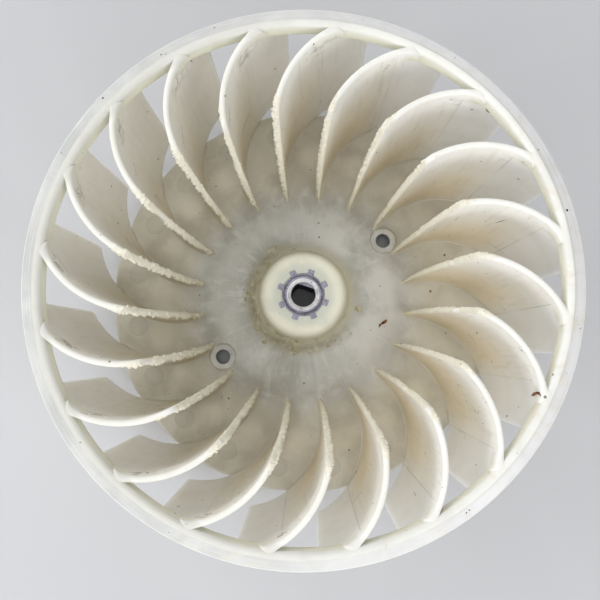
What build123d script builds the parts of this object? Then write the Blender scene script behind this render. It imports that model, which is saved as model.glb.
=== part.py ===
from build123d import *
import math
import os

# Moulded centrifugal blower wheel of a tumble dryer, with a metal bush moulded into its hub.
# The origin is on the axis, in the plane of the back plate's rim, where the wheel rests.
# +Z runs along the axis, from the back plate to the open inlet side. Millimetres and degrees.

# Wheel
wheel_diameter = 240.0
wheel_height = 104.0
moulding_wall = 2.8

# Blades: each is a plain arc in plan, drawn straight along the axis
# The arc's whole circle passes the axis at the near radius, and reaches over the wheel's edge
blade_count = 20
blade_thickness = 2.6
blade_near_radius = 33.8
blade_overreach = 1.6
blade_phase = -7.9
blade_heel_height = 8.2
inlet_foot_radius = 55.5
inlet_foot_rise = 1.0
inlet_mouth_radius = 74.7
inlet_mouth_round = 4.0

# Tie ring round the inlet side: a deep inner skirt, a sloping flange and a shallow outer lip
ring_width = 9.2
ring_skirt_wall = 3.0
ring_skirt_height = 8.0
ring_skirt_draft = 0.3
ring_step = 1.0
ring_flange_fall = 2.2
ring_flange_wall = 2.2
ring_lip_wall = 1.6
ring_lip_height = 5.0
ring_edge_round = 1.2

# Back plate: nearly flat outside, rising as a bell to the hub boss
plate_inset = 12.5
plate_foot_radius = 57.0
plate_foot_height = 9.4
plate_edge_height = 4.6
plate_edge_round = 3.0
bell_top_radius = 24.0
bell_top_height = 29.0
bell_foot_round = 22.0
bell_top_round = 3.5
boss_radius = 21.8
boss_height = 37.5
boss_edge_round = 3.2

# Underside of the hub: a sleeve tied to the bell by radial ribs
sleeve_radius = 18.0
sleeve_foot_height = 4.0
rib_count = 8
rib_thickness = 2.2
rib_reach_radius = 70.0
rib_reach_drop = 1.0
rib_phase = 11.5

# Pair of holes through the plate, each in a flat round pad let into the foot of the bell
hole_pitch_radius = 55.0
hole_radius = 4.0
hole_phase = 36.0
pad_radius = 7.0
pad_height = 10.6

# Bush: splined outside, D-shaped inside, with a raised collar round its mouth
bush_bore_radius = 6.35
bush_flat_distance = 4.76
bush_flat_phase = 71.0
bush_round_depth = 2.0
bush_core_radius = 11.0
bush_lobe_count = 8
bush_lobe_radius = 13.5
bush_lobe_width = 3.4
bush_lobe_phase = 25.5
bush_lobe_round = 0.5
bush_length = 30.0
bush_collar_radius = 10.1
bush_collar_height = 1.4
bush_collar_round = 0.5
bush_mouth_radius = 8.0
bush_mouth_depth = 1.3

wheel_radius = wheel_diameter / 2
blade_face_radius = (wheel_radius + blade_overreach - blade_near_radius) / 2
blade_arc_offset = blade_near_radius + blade_face_radius
ring_bore_radius = wheel_radius - ring_width
plate_radius = wheel_radius - plate_inset
half_wall = moulding_wall / 2
os.makedirs("parts", exist_ok=True)


def on_circle(radius, angle):
    """Plan point at a radius and an angle about the wheel's axis."""
    return (radius * math.cos(math.radians(angle)), radius * math.sin(math.radians(angle)))


# Bush profile, cut out of the hub and used again for the bush itself
bush_foot_height = boss_height - bush_length
with BuildSketch(Plane.XY.offset(bush_foot_height)) as bush_profile:
    Circle(bush_core_radius)
    with PolarLocations(bush_lobe_radius / 2, bush_lobe_count, start_angle=bush_lobe_phase):
        Rectangle(bush_lobe_radius, bush_lobe_width)
    lobe_corners = bush_profile.vertices().filter_by(
        lambda corner: math.hypot(corner.X, corner.Y) > bush_lobe_radius - bush_lobe_round
    )
    fillet(lobe_corners, radius=bush_lobe_round)

# One blade, cut to the outline that the wheel has in section
skirt_outer_radius = ring_bore_radius + ring_skirt_wall
flange_root_height = wheel_height - ring_step
flange_edge_height = flange_root_height - ring_flange_fall
lip_inner_radius = wheel_radius - ring_lip_wall

blade_outline_points = [
    (inlet_foot_radius, plate_foot_height - half_wall),
    (inlet_foot_radius, plate_foot_height + inlet_foot_rise),
    (inlet_mouth_radius, wheel_height),
    (ring_bore_radius + ring_skirt_wall / 2, wheel_height),
    (ring_bore_radius + ring_skirt_wall / 2, flange_root_height - ring_flange_wall / 2),
    (lip_inner_radius + ring_lip_wall / 4, flange_edge_height - ring_flange_wall / 2),
    (lip_inner_radius + ring_lip_wall / 4, blade_heel_height),
    (plate_radius - half_wall, plate_edge_height - half_wall),
]
with BuildPart() as blade:
    with BuildSketch(Plane.XY):
        with BuildLine():
            face_arc = CenterArc(on_circle(blade_arc_offset, blade_phase), blade_face_radius, 0, 180)
            back_arc = CenterArc(face_arc.arc_center, blade_face_radius + blade_thickness, 0, 180)
            Line(face_arc @ 0, back_arc @ 0)
            Line(face_arc @ 1, back_arc @ 1)
        make_face()
    extrude(amount=wheel_height)
    with BuildSketch(Plane.XZ) as blade_outline:
        with BuildLine():
            Polyline(*blade_outline_points, close=True)
        make_face()
        inlet_mouth = blade_outline.vertices().group_by(Axis.Y)[-1].sort_by(Axis.X)[0]
        fillet(inlet_mouth, radius=inlet_mouth_round)
    revolve(axis=Axis.Z, mode=Mode.INTERSECT)

# Section of the bell and the back plate, with the solid hub inside the bell
bell_slope = (bell_top_height - plate_foot_height) / (plate_foot_radius - bell_top_radius)
bell_drop = moulding_wall / math.cos(math.atan(bell_slope))
lower_bell_height = bell_top_height - bell_drop + (bell_top_radius - sleeve_radius) * bell_slope
lower_foot_height = plate_foot_height - moulding_wall
rim_inner_radius = plate_radius - moulding_wall

# What is tied to the bell from below runs up to the middle of its wall
middle_foot_height = plate_foot_height - half_wall
rib_root_radius = sleeve_radius - half_wall
middle_root_height = middle_foot_height + (plate_foot_radius - rib_root_radius) * bell_slope

with BuildPart() as wheel:
    with BuildSketch(Plane.XZ) as hub_section:
        with BuildLine():
            Polyline(
                (0, boss_height),
                (boss_radius, boss_height),
                (bell_top_radius, bell_top_height),
                (plate_foot_radius, plate_foot_height),
                (plate_radius, plate_edge_height),
                (plate_radius, 0),
                (rim_inner_radius, 0),
                (rim_inner_radius, plate_edge_height - moulding_wall),
                (plate_foot_radius, lower_foot_height),
                (sleeve_radius, lower_bell_height),
                (sleeve_radius, sleeve_foot_height),
                (0, sleeve_foot_height),
                close=True,
            )
        make_face()
        hub_corners = hub_section.vertices()
        fillet(hub_corners.sort_by_distance((boss_radius, boss_height))[0], radius=boss_edge_round)
        fillet(hub_corners.sort_by_distance((bell_top_radius, bell_top_height))[0], radius=bell_top_round)
        fillet(hub_corners.sort_by_distance((plate_radius, plate_edge_height))[0], radius=plate_edge_round)
        for foot_height in (plate_foot_height, lower_foot_height):
            foot_corner = hub_corners.sort_by_distance((plate_foot_radius, foot_height))[0]
            fillet(foot_corner, radius=bell_foot_round)
    revolve(axis=Axis.Z)

    # Tie ring
    with BuildSketch(Plane.XZ) as ring_section:
        with BuildLine():
            Polyline(
                (ring_bore_radius, wheel_height - ring_skirt_height),
                (ring_bore_radius + ring_skirt_draft, wheel_height),
                (skirt_outer_radius, wheel_height),
                (skirt_outer_radius + ring_step, flange_root_height),
                (wheel_radius, flange_edge_height),
                (wheel_radius, flange_edge_height - ring_lip_height),
                (lip_inner_radius, flange_edge_height - ring_lip_height),
                (lip_inner_radius, flange_edge_height - ring_flange_wall),
                (skirt_outer_radius, flange_root_height - ring_flange_wall),
                (skirt_outer_radius - ring_skirt_draft, wheel_height - ring_skirt_height),
                close=True,
            )
        make_face()
        ring_corners = ring_section.vertices()
        bore_corner = (ring_bore_radius + ring_skirt_draft, wheel_height)
        fillet(ring_corners.sort_by_distance(bore_corner)[0], radius=ring_edge_round)
        fillet(ring_corners.sort_by_distance((wheel_radius, flange_edge_height))[0], radius=ring_edge_round)
    revolve(axis=Axis.Z)

    # Ribs under the bell, from the sleeve out to the plate
    with BuildPart(mode=Mode.PRIVATE) as rib:
        with BuildSketch(Plane.XZ):
            with BuildLine():
                Polyline(
                    (rib_root_radius, sleeve_foot_height),
                    (rib_reach_radius, lower_foot_height - rib_reach_drop),
                    (plate_foot_radius, middle_foot_height),
                    (rib_root_radius, middle_root_height),
                    close=True,
                )
            make_face()
        extrude(amount=rib_thickness / 2, both=True)
    with PolarLocations(0, rib_count, start_angle=rib_phase):
        add(rib.part)

    # Blades
    with PolarLocations(0, blade_count):
        add(blade.part)

    # Pads with their through holes, each in a walled pocket that is closed against the bell
    with BuildPart(mode=Mode.PRIVATE) as pad_pockets:
        with BuildSketch(Plane.XY.offset(lower_foot_height)):
            with PolarLocations(hole_pitch_radius, 2, start_angle=hole_phase):
                Circle(pad_radius + moulding_wall)
        extrude(amount=bell_top_height)
        with BuildSketch(Plane.XZ):
            with BuildLine():
                Polyline(
                    (rib_root_radius, lower_foot_height),
                    (rib_root_radius, middle_root_height),
                    (plate_foot_radius, middle_foot_height),
                    (plate_radius - half_wall, plate_edge_height - half_wall),
                    close=True,
                )
            make_face()
        revolve(axis=Axis.Z, mode=Mode.INTERSECT)
    add(pad_pockets.part)
    with BuildSketch(Plane.XY.offset(pad_height)):
        with PolarLocations(hole_pitch_radius, 2, start_angle=hole_phase):
            Circle(pad_radius)
    extrude(amount=bell_top_height - pad_height, mode=Mode.SUBTRACT)
    with BuildSketch(Plane.XY):
        with PolarLocations(hole_pitch_radius, 2, start_angle=hole_phase):
            Circle(hole_radius)
    extrude(amount=bell_top_height, mode=Mode.SUBTRACT)

    # Seat of the bush, and the shaft's way through under it
    add(bush_profile.sketch)
    extrude(amount=bush_length, mode=Mode.SUBTRACT)
    with BuildSketch(Plane.XY):
        Circle(bush_core_radius - half_wall)
    extrude(amount=boss_height, mode=Mode.SUBTRACT)

# Bush
with BuildPart() as bush:
    add(bush_profile.sketch)
    extrude(amount=bush_length)
    with BuildSketch(Plane.XY.offset(boss_height)):
        Circle(bush_collar_radius)
    extrude(amount=bush_collar_height)
    fillet(bush.edges().group_by(Axis.Z)[-1], radius=bush_collar_round)
    with BuildSketch(Plane.XY.offset(bush_foot_height)):
        Circle(bush_bore_radius)
        with Locations(on_circle(bush_flat_distance + bush_bore_radius / 2, bush_flat_phase)):
            Rectangle(
                bush_bore_radius,
                2 * bush_bore_radius,
                rotation=bush_flat_phase,
                mode=Mode.SUBTRACT,
            )
    extrude(amount=bush_length + bush_collar_height, mode=Mode.SUBTRACT)
    with BuildSketch(Plane.XY.offset(boss_height + bush_collar_height - bush_mouth_depth - bush_round_depth)):
        Circle(bush_bore_radius)
    extrude(amount=bush_mouth_depth + bush_round_depth, mode=Mode.SUBTRACT)
    with BuildSketch(Plane.XZ):
        with BuildLine():
            Polyline(
                (0, boss_height + bush_collar_height - bush_mouth_depth),
                (bush_bore_radius, boss_height + bush_collar_height - bush_mouth_depth),
                (bush_mouth_radius, boss_height + bush_collar_height),
                (0, boss_height + bush_collar_height),
                close=True,
            )
        make_face()
    revolve(axis=Axis.Z, mode=Mode.SUBTRACT)

wheel.part.label = "wheel"
bush.part.label = "bush"
export_step(wheel.part, "parts/wheel.step")
export_step(bush.part, "parts/bush.step")
print("wheel", wheel.part.volume, wheel.part.bounding_box(), len(wheel.part.solids()))
print("bush", bush.part.volume, bush.part.bounding_box(), len(bush.part.solids()))
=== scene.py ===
import bmesh
import bpy
import math
import random
from mathutils import Matrix, Vector, noise


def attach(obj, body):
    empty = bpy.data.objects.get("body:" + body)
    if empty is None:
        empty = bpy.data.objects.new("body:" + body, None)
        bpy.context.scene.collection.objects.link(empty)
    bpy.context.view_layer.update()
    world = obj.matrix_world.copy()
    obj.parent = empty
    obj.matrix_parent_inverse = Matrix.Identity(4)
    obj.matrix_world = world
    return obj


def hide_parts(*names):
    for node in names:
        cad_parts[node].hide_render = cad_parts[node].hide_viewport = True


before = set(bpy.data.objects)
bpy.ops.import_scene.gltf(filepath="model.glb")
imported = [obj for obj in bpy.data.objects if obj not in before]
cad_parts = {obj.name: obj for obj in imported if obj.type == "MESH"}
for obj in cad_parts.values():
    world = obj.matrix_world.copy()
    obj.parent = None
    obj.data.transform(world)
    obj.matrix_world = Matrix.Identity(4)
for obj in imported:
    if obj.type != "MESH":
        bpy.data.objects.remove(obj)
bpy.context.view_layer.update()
print("stage: frame loaded")


def roundCorners(corners, steps=4):
    # corners are (radius, height, rounding), all in metres; every bend becomes a short arc
    path = []
    for i, (x, y, r) in enumerate(corners):
        if i in (0, len(corners) - 1) or r <= 0:
            path.append((x, y))
            continue
        here = Vector((x, y))
        back = Vector(corners[i - 1][:2]) - here
        ahead = Vector(corners[i + 1][:2]) - here
        half = back.angle(ahead) / 2
        reach = r / math.tan(half)
        startPoint = here + back.normalized() * reach
        endPoint = here + ahead.normalized() * reach
        centre = here + (back.normalized() + ahead.normalized()).normalized() * (r / math.sin(half))
        a = startPoint - centre
        b = endPoint - centre
        turn = math.atan2(a.x * b.y - a.y * b.x, a.dot(b))
        for k in range(steps + 1):
            t = turn * k / steps
            path.append((
                centre.x + a.x * math.cos(t) - a.y * math.sin(t),
                centre.y + a.x * math.sin(t) + a.y * math.cos(t),
            ))
    return path


def fillGaps(path, step):
    # adds points so that no stretch of the path is longer than step
    dense = [path[0]]
    for a, b in zip(path, path[1:]):
        n = max(1, math.ceil(math.dist(a, b) / step))
        for k in range(1, n + 1):
            dense.append((a[0] + (b[0] - a[0]) * k / n, a[1] + (b[1] - a[1]) * k / n))
    return dense


def onHeight(path, radius):
    # height of a path at a radius; the path runs outward
    for a, b in zip(path, path[1:]):
        if a[0] <= radius <= b[0]:
            return a[1] + (b[1] - a[1]) * (radius - a[0]) / max(b[0] - a[0], 1e-9)
    return path[-1][1] if radius > path[-1][0] else path[0][1]


def distanceTo(path, x, y):
    best = 1.0
    for (ax, ay), (bx, by) in zip(path, path[1:]):
        dx, dy = bx - ax, by - ay
        t = max(0.0, min(1.0, ((x - ax) * dx + (y - ay) * dy) / max(dx * dx + dy * dy, 1e-12)))
        best = min(best, math.hypot(x - ax - t * dx, y - ay - t * dy))
    return best


def ease(value, low, high):
    # smooth step from 0 at low to 1 at high, either way round
    t = max(0.0, min(1.0, (value - low) / (high - low)))
    return t * t * (3 - 2 * t)


def makePiece(name, points, faces, body="root"):
    # nothing stands above the wheel's rim
    points = [(point[0], point[1], min(point[2], wheelSizes["height"])) for point in points]
    mesh = bpy.data.meshes.new(name)
    mesh.from_pydata(points, [], faces)
    mesh.validate()
    mesh.update()
    mesh.shade_smooth()
    piece = bpy.data.objects.new(name, mesh)
    bpy.context.collection.objects.link(piece)
    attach(piece, body)
    return piece


def cleanMesh(piece, sharp=50):
    bm = bmesh.new()
    bm.from_mesh(piece.data)
    bmesh.ops.remove_doubles(bm, verts=bm.verts, dist=0.000004)
    bmesh.ops.recalc_face_normals(bm, faces=bm.faces)
    bm.to_mesh(piece.data)
    bm.free()
    piece.data.shade_smooth()
    piece.data.set_sharp_from_angle(angle=math.radians(sharp))


# The wheel's one moulding: back plate with its bell, ribs, blades and tie ring
wheelSizes = {
    "height": 0.104,
    "bladeCount": 20,
    "bladeThickness": 0.0026,
    "bladeArc": 0.0439,
    "bladeArcOffset": 0.0777,
    "bladePhase": -7.9,
    "bladeRound": 0.0011,
    "stiffRadius": 0.112,
    "stiffSpan": 0.03,
    "footRadius": 0.0555,
    "footHeight": 0.0104,
    "mouthRadius": 0.0747,
    "mouthRound": 0.004,
    "outerRadius": 0.1188,
    "heelHeight": 0.0082,
    "heelStart": 0.1055,
    "sunkInPlate": 0.0003,
    "rootFlare": 0.0018,
    "tipFlareCrowned": 0.0022,
    "tipFlareHollow": 0.0042,
    "tipFlareHeights": (0.0950, 0.1000),
    "flareRound": 0.0030,
    "tipSink": 0.00012,
    "tipSinkRadii": (0.1075, 0.1110),
    "tipDrop": 0.0041,
    "tipDropStart": 0.1124,
    "tipDropSpan": 0.0012,
    "footThin": 0.26,
    "footThinHeights": (0.048, 0.012),
    "footThinDepths": (0.012, 0.001),
    "footPoint": 0.42,
    "footPointHeights": (0.032, 0.012),
    "footPointDepths": (0.0036, 0.0),
    "ringWall": 0.1109,
    "ringColumns": 288,
    "skirtOuter": 0.1130,
    "skirtFoot": 0.0962,
    "warp": 0.00035,
    "plateStep": 1.5,  # degrees between the columns of the turned plate
    "bossRadius": 0.0218,
    "bossHeight": 0.0375,
    "holeCircle": 0.055,
    "holeRadius": 0.004,
    "holePhase": 36.0,
    "padRadius": 0.007,
    "padHeight": 0.0106,
    "pocketRadius": 0.0098,
    "pocketFoot": 0.0066,
    "padBlock": (0.0465, 0.0637, 9),  # first and last radius and half the spread in degrees
    "pocketBlock": (0.0672, 0.0430, 12),
    "wallRings": (0.0013, 0.0007, 0.0004, 0.0001, -0.0002, -0.0010),
    "boreRings": (0.0052, 0.0044, 0.0042, 0.00405, 0.0040),
    "ribCount": 8,
    "ribPhase": 11.5,
    "ribThickness": 0.0022,
    "ribOutline": ((0.0172, 0.0041), (0.0172, 0.0314), (0.0570, 0.0080), (0.0700, 0.0056)),
    "splineCount": 8,
    "splinePhase": 25.5,
    "splineRadius": 0.0135,
    "splineCore": 0.011,
    "splineFlat": 5.5,  # half angles of a spline's flat top, its crest and its root
    "splineCrest": 7.23,
    "splineRoot": 8.89,
    "splineFall": 0.0003,
    "splineFallSpan": 1.7,
    "seed": 4,
}

upperPath = fillGaps(roundCorners([
    (0.0140, wheelSizes["bossHeight"], 0), (wheelSizes["bossRadius"], wheelSizes["bossHeight"], 0.0034),
    (0.0240, 0.0290, 0.0038), (0.0570, 0.0094, 0.022), (0.1075, 0.0046, 0.003), (0.1075, 0.0010, 0),
], 6), 0.0024)
lowerPath = fillGaps(roundCorners([
    (0.1075, 0.0010, 0), (0.1075, 0.0, 0.0005), (0.1047, 0.0, 0.0005), (0.1047, 0.0018, 0.0008),
    (0.0570, 0.0066, 0.022), (0.0180, 0.0293, 0.001), (0.0180, 0.0040, 0.0006), (0.0096, 0.0040, 0.0004),
    (0.0096, 0.0075, 0),
], 4), 0.0030)[1:]
plateTop = [p for p in upperPath if p[0] > 0.0239]
plateTop = [p for k, p in enumerate(plateTop) if k == 0 or p[0] > plateTop[k - 1][0]]
plateUnder = sorted(p for p in lowerPath if 0.0181 < p[0] < 0.1046 and p[1] > 0.0018)


def bushOutline(degrees):
    # radius of the splined seat of the bush at an angle
    s = wheelSizes
    pitch = 360 / s["splineCount"]
    off = abs((degrees - s["splinePhase"] + pitch / 2) % pitch - pitch / 2)
    if off <= s["splineCrest"]:
        return s["splineRadius"] - s["splineFall"] * max(0, off - s["splineFlat"]) / s["splineFallSpan"]
    if off >= s["splineRoot"]:
        return s["splineCore"]
    down = (off - s["splineCrest"]) / (s["splineRoot"] - s["splineCrest"])
    return s["splineRadius"] + (s["splineCore"] - s["splineRadius"]) * down


def wheelAngles():
    # even columns, with those nearest to the splines' corners moved onto them
    s = wheelSizes
    step = s["plateStep"]
    angles = [step * k for k in range(round(360 / step))]
    for k in range(s["splineCount"]):
        for off in (-s["splineRoot"], -s["splineCrest"], s["splineCrest"], s["splineRoot"]):
            wanted = (s["splinePhase"] + 360 * k / s["splineCount"] + off) % 360
            angles[round(wanted / step) % len(angles)] = wanted
    return angles


def buildPlate(points, faces):
    s = wheelSizes
    angles = wheelAngles()
    columns = len(angles)
    rows = [("seat", 0.0002, 0.0300), ("seat", 0.00005, 0.0372), ("seat", 0.0002, 0.03745)]
    rows += [("plain", r, z) for r, z in upperPath[1:] + lowerPath]
    rows += [("plain", 0.0108, 0.0076), ("seat", 0.0002, 0.0080)]
    first = len(points)
    for kind, r, z in rows:
        for a in angles:
            radius = bushOutline(a) + r if kind == "seat" else r
            points.append((radius * math.cos(math.radians(a)), radius * math.sin(math.radians(a)), z))

    # the two pads take the place of a block of the grid, a larger one on the underside
    radii = [math.hypot(*points[first + j * columns][:2]) for j in range(len(rows))]
    split = 2 + len(upperPath)

    def nearestRow(low, high, radius):
        return min(range(low, high), key=lambda j: abs(radii[j] - radius))

    start, end, spread = s["padBlock"]
    above = (nearestRow(3, split, start), nearestRow(3, split, end), spread)
    start, end, spread = s["pocketBlock"]
    below = (nearestRow(split, len(rows), start), nearestRow(split, len(rows), end), spread)
    centres = [s["holePhase"], s["holePhase"] + 180]

    def inBlock(i, j, block):
        low, high, reach = block
        half = round(reach / s["plateStep"])
        middles = [round(c / s["plateStep"]) for c in centres]
        return low <= j < high and any(m - half <= i < m + half for m in middles)

    for j in range(len(rows)):
        nextRow = (j + 1) % len(rows)
        for i in range(columns):
            if inBlock(i, j, above) or inBlock(i, j, below):
                continue
            n = (i + 1) % columns
            faces.append((first + j * columns + i, first + j * columns + n,
                          first + nextRow * columns + n, first + nextRow * columns + i))

    for centre in centres:
        cx = s["holeCircle"] * math.cos(math.radians(centre))
        cy = s["holeCircle"] * math.sin(math.radians(centre))
        bores = []
        for block, path, padZ, wall, lift in (
            (above, plateTop, s["padHeight"], s["padRadius"], -1),
            (below, plateUnder, s["pocketFoot"], s["pocketRadius"], 1),
        ):
            low, high, reach = block
            half = round(reach / s["plateStep"])
            lo = round(centre / s["plateStep"]) - half
            hi = round(centre / s["plateStep"]) + half
            loop = [low * columns + i for i in range(lo, hi)]
            loop += [j * columns + hi for j in range(low, high)]
            loop += [high * columns + i for i in range(hi, lo, -1)]
            loop += [j * columns + lo for j in range(high, low, -1)]
            outside = [first + k for k in loop]

            def padRing(distance, bearings):
                made = []
                for bearing in bearings:
                    px, py = cx + math.cos(bearing) * distance, cy + math.sin(bearing) * distance
                    wallZ = onHeight(path, math.hypot(px, py))
                    blend = ease(distance, wall + 0.0007, wall - 0.0002)
                    z = wallZ + (padZ - wallZ) * blend
                    z += lift * max(0.0, s["holeRadius"] + 0.0002 - distance) ** 2 * 6000
                    made.append(len(points))
                    points.append((px, py, z))
                return made

            # rings run from the block's outline over the pad's wall to the bore's edge
            bearings = [math.atan2(points[k][1] - cy, points[k][0] - cx) for k in outside]
            last = outside
            for distance in [wall + step for step in s["wallRings"]] + list(s["boreRings"]):
                ring = padRing(distance, bearings)
                for k in range(len(ring)):
                    n = (k + 1) % len(ring)
                    faces.append((last[k], last[n], ring[n], ring[k]))
                last = ring
            bores.append(last)
        # the two faces' bore edges have their own counts, so the wall between is zipped by bearing
        zipLoops(points, faces, bores[0], bores[1], cx, cy)


def zipLoops(points, faces, upper, lower, cx, cy):
    def bearing(k):
        return math.atan2(points[k][1] - cy, points[k][0] - cx) % (2 * math.pi)

    a = sorted(upper, key=bearing)
    b = sorted(lower, key=bearing)
    i = j = 0
    while i < len(a) or j < len(b):
        nextA = bearing(a[i]) if i < len(a) else 9
        nextB = bearing(b[j]) if j < len(b) else 9
        here = (a[i % len(a)], b[j % len(b)])
        if nextA <= nextB:
            faces.append((here[0], a[(i + 1) % len(a)], here[1]))
            i += 1
        else:
            faces.append((here[0], b[(j + 1) % len(b)], here[1]))
            j += 1


def buildRibs(points, faces):
    s = wheelSizes
    half = s["ribThickness"] / 2
    n = len(s["ribOutline"])
    for k in range(s["ribCount"]):
        a = math.radians(s["ribPhase"] + 360 * k / s["ribCount"])
        first = len(points)
        for side in (-half, half):
            for r, z in s["ribOutline"]:
                points.append((r * math.cos(a) - side * math.sin(a), r * math.sin(a) + side * math.cos(a), z))
        faces.append(tuple(first + i for i in range(n)))
        faces.append(tuple(first + n + i for i in reversed(range(n))))
        for i in range(n):
            m = (i + 1) % n
            faces.append((first + i, first + n + i, first + n + m, first + m))


# one blade's outline in radius and height: foot, leading edge, rounded mouth, front edge
inletPath = fillGaps(roundCorners([
    (wheelSizes["footRadius"], 0.0060, 0), (wheelSizes["footRadius"], wheelSizes["footHeight"], 0),
    (wheelSizes["mouthRadius"], wheelSizes["height"], wheelSizes["mouthRound"]),
    (0.1130, wheelSizes["height"], 0),
], 6), 0.02)


def bladePoint(radius, side):
    # plan point on blade 0 at a radius, side metres from its middle towards its crowned face
    arc = wheelSizes["bladeArc"] + wheelSizes["bladeThickness"] / 2
    offset = wheelSizes["bladeArcOffset"]
    phase = math.radians(wheelSizes["bladePhase"])
    c = (radius ** 2 - offset ** 2 - arc ** 2) / (2 * offset * arc)
    t = phase + math.acos(max(-1, min(1, c)))
    x = offset * math.cos(phase) + (arc + side) * math.cos(t)
    y = offset * math.sin(phase) + (arc + side) * math.sin(t)
    return x, y


def heelHeight(radius):
    # lowest line of a blade: in the plate, then up to the heel outside it
    s = wheelSizes
    start = onHeight(plateTop, min(radius, s["heelStart"])) - s["sunkInPlate"]
    if radius < s["heelStart"]:
        return start
    outward = (radius - s["heelStart"]) / (s["outerRadius"] - s["heelStart"])
    return start + (s["heelHeight"] - start) * outward


def leadRadius(z):
    # the front edge itself is level, so only the path up to it counts
    for a, b in zip(inletPath, inletPath[1:]):
        if b[1] > wheelSizes["height"] - 0.00001:
            return b[0] if z > b[1] - 0.00001 else a[0] + (b[0] - a[0]) * (z - a[1]) / (b[1] - a[1])
        if a[1] <= z <= b[1]:
            return a[0] + (b[0] - a[0]) * (z - a[1]) / (b[1] - a[1])


def drawWarps():
    # each blade leans and bows a little in its own way, as cooled mouldings do
    spin = random.Random(wheelSizes["seed"])
    return [(spin.uniform(-1, 1), spin.uniform(-1, 1)) for _ in range(wheelSizes["bladeCount"])]


bladeWarps = drawWarps()


def footTaper(radius, z):
    # a blade thins towards the low end of its leading edge and ends there in a point
    s = wheelSizes
    behind = radius - s["footRadius"] - (s["mouthRadius"] - s["footRadius"]) * (
        (z - s["footHeight"]) / (s["height"] - s["footHeight"]))
    thin = s["footThin"] * ease(z, *s["footThinHeights"]) * ease(behind, *s["footThinDepths"])
    point = s["footPoint"] * ease(z, *s["footPointHeights"]) * ease(behind, *s["footPointDepths"])
    return (1 - thin) * (1 - point)


def placeOnBlade(k, radius, z, side, swing=0.0):
    # side is measured from the middle of blade k's thickness, swing round the wheel's axis
    s = wheelSizes
    lean, bow = bladeWarps[k]
    up = z / s["height"]
    free = max(0.0, min(1.0, (s["stiffRadius"] - radius) / s["stiffSpan"])) * min(1.0, up * 4)
    bend = s["warp"] * (lean * up + bow * math.sin(math.pi * up)) * free
    # inside the ring's skirt the tip runs straight outward, so its flare closes on the skirt
    inSkirt = s["ringWall"] < radius < s["skirtOuter"] and z > s["skirtFoot"]
    heldRadius = s["ringWall"] if inSkirt else radius
    x, y = bladePoint(heldRadius, side * footTaper(radius, z) + bend)
    x, y = x * radius / heldRadius, y * radius / heldRadius
    turn = 2 * math.pi * k / s["bladeCount"] + swing / radius
    cosine, sine = math.cos(turn), math.sin(turn)
    return (x * cosine - y * sine, x * sine + y * cosine, z)


def bladeGrid():
    # rows of (radius, height, half thickness, crowned swing, hollow swing) over one blade
    s = wheelSizes
    nearLead = [0, 0.00012, 0.00035, 0.0007, 0.0012, 0.0022]
    # beyond the last free column the columns keep fixed radii, close together where the ring joins
    lastFree = 0.1064
    joinRadii = [lastFree, 0.1075, 0.1084, 0.1091, 0.1097, 0.1102, 0.1106, 0.1109, 0.1114, 0.1119, 0.1124,
                 0.1136, 0.1160, 0.1174, 0.1181, 0.11855, s["outerRadius"]]
    nearFoot = [0, 0.0005, 0.0010, 0.0016, 0.0024, 0.0040]
    nearTop = [0.0032, 0.0018, 0.0011, 0.0006, 0.00025, 0.0001, 0]
    midColumns, midRows = 12, 22
    rowCrowding = 1.35
    heelFrom, roundTo, flareTo = 0.1072, 0.1125, 0.1060
    heelPath = [(heelFrom, heelHeight(heelFrom)), (s["outerRadius"], s["heelHeight"]),
                (s["outerRadius"], 0.0995)]
    grid = []
    for j in range(len(nearFoot) + midRows + len(nearTop)):

        def sunk(radius):
            # the front edge dips a little where it runs into the ring's bead
            return s["tipSink"] * ease(radius, *s["tipSinkRadii"])

        def heightAt(radius):
            low = heelHeight(radius)
            drop = s["tipDrop"] * max(0.0, min(1.0, (radius - s["tipDropStart"]) / s["tipDropSpan"]))
            top = s["height"] - sunk(radius) - drop
            if j < len(nearFoot):
                return low + nearFoot[j]
            if j >= len(nearFoot) + midRows:
                return top - nearTop[j - len(nearFoot) - midRows]
            t = 1 - (1 - (j - len(nearFoot) + 1) / (midRows + 1)) ** rowCrowding
            return low + nearFoot[-1] + (top - nearTop[0] - low - nearFoot[-1]) * t

        # the height depends a little on the radius, so the leading edge is found in a few turns
        lead = s["footRadius"]
        for _ in range(8):
            lead = leadRadius(heightAt(lead))
        start, end = nearLead[-1], lastFree - lead
        offsets = nearLead + [start + (end - start) * (i + 1) / (midColumns + 1) for i in range(midColumns)]
        offsets += [radius - lead for radius in joinRadii]
        row = []
        for d in offsets:
            radius = lead + d
            z = heightAt(radius)
            edge = distanceTo(inletPath[1:], radius, z + sunk(radius)) if radius < roundTo else 1.0
            edge = min(edge, distanceTo(heelPath, radius, z)) if radius > heelFrom else edge
            t = min(edge / s["bladeRound"], 1.0)
            half = s["bladeThickness"] / 2 * math.sqrt(max(0.0, 1 - (1 - t) ** 2))
            wideBulge = math.sqrt(max(0.0, 1 - (1 - min(edge / s["flareRound"], 1.0)) ** 2))
            if radius < flareTo:
                near = max(0.0, s["rootFlare"] - max(z - onHeight(plateTop, radius), 0.0))
                grow = s["rootFlare"] - math.sqrt(s["rootFlare"] ** 2 - near ** 2)
                half += grow
                if d < 0.0008:
                    radius -= 0.4 * grow * (1 - d / 0.0008)
            swings = []
            for flare in (s["tipFlareCrowned"], s["tipFlareHollow"]):
                near = max(0.0, flare - max(s["ringWall"] - radius, 0.0)) if radius < s["skirtOuter"] else 0.0
                grow = (flare - math.sqrt(flare ** 2 - near ** 2)) * ease(z, *s["tipFlareHeights"])
                swings.append(grow * wideBulge)
            row.append((radius, z, half, swings[0], swings[1]))
        grid.append(row)
    return grid


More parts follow.
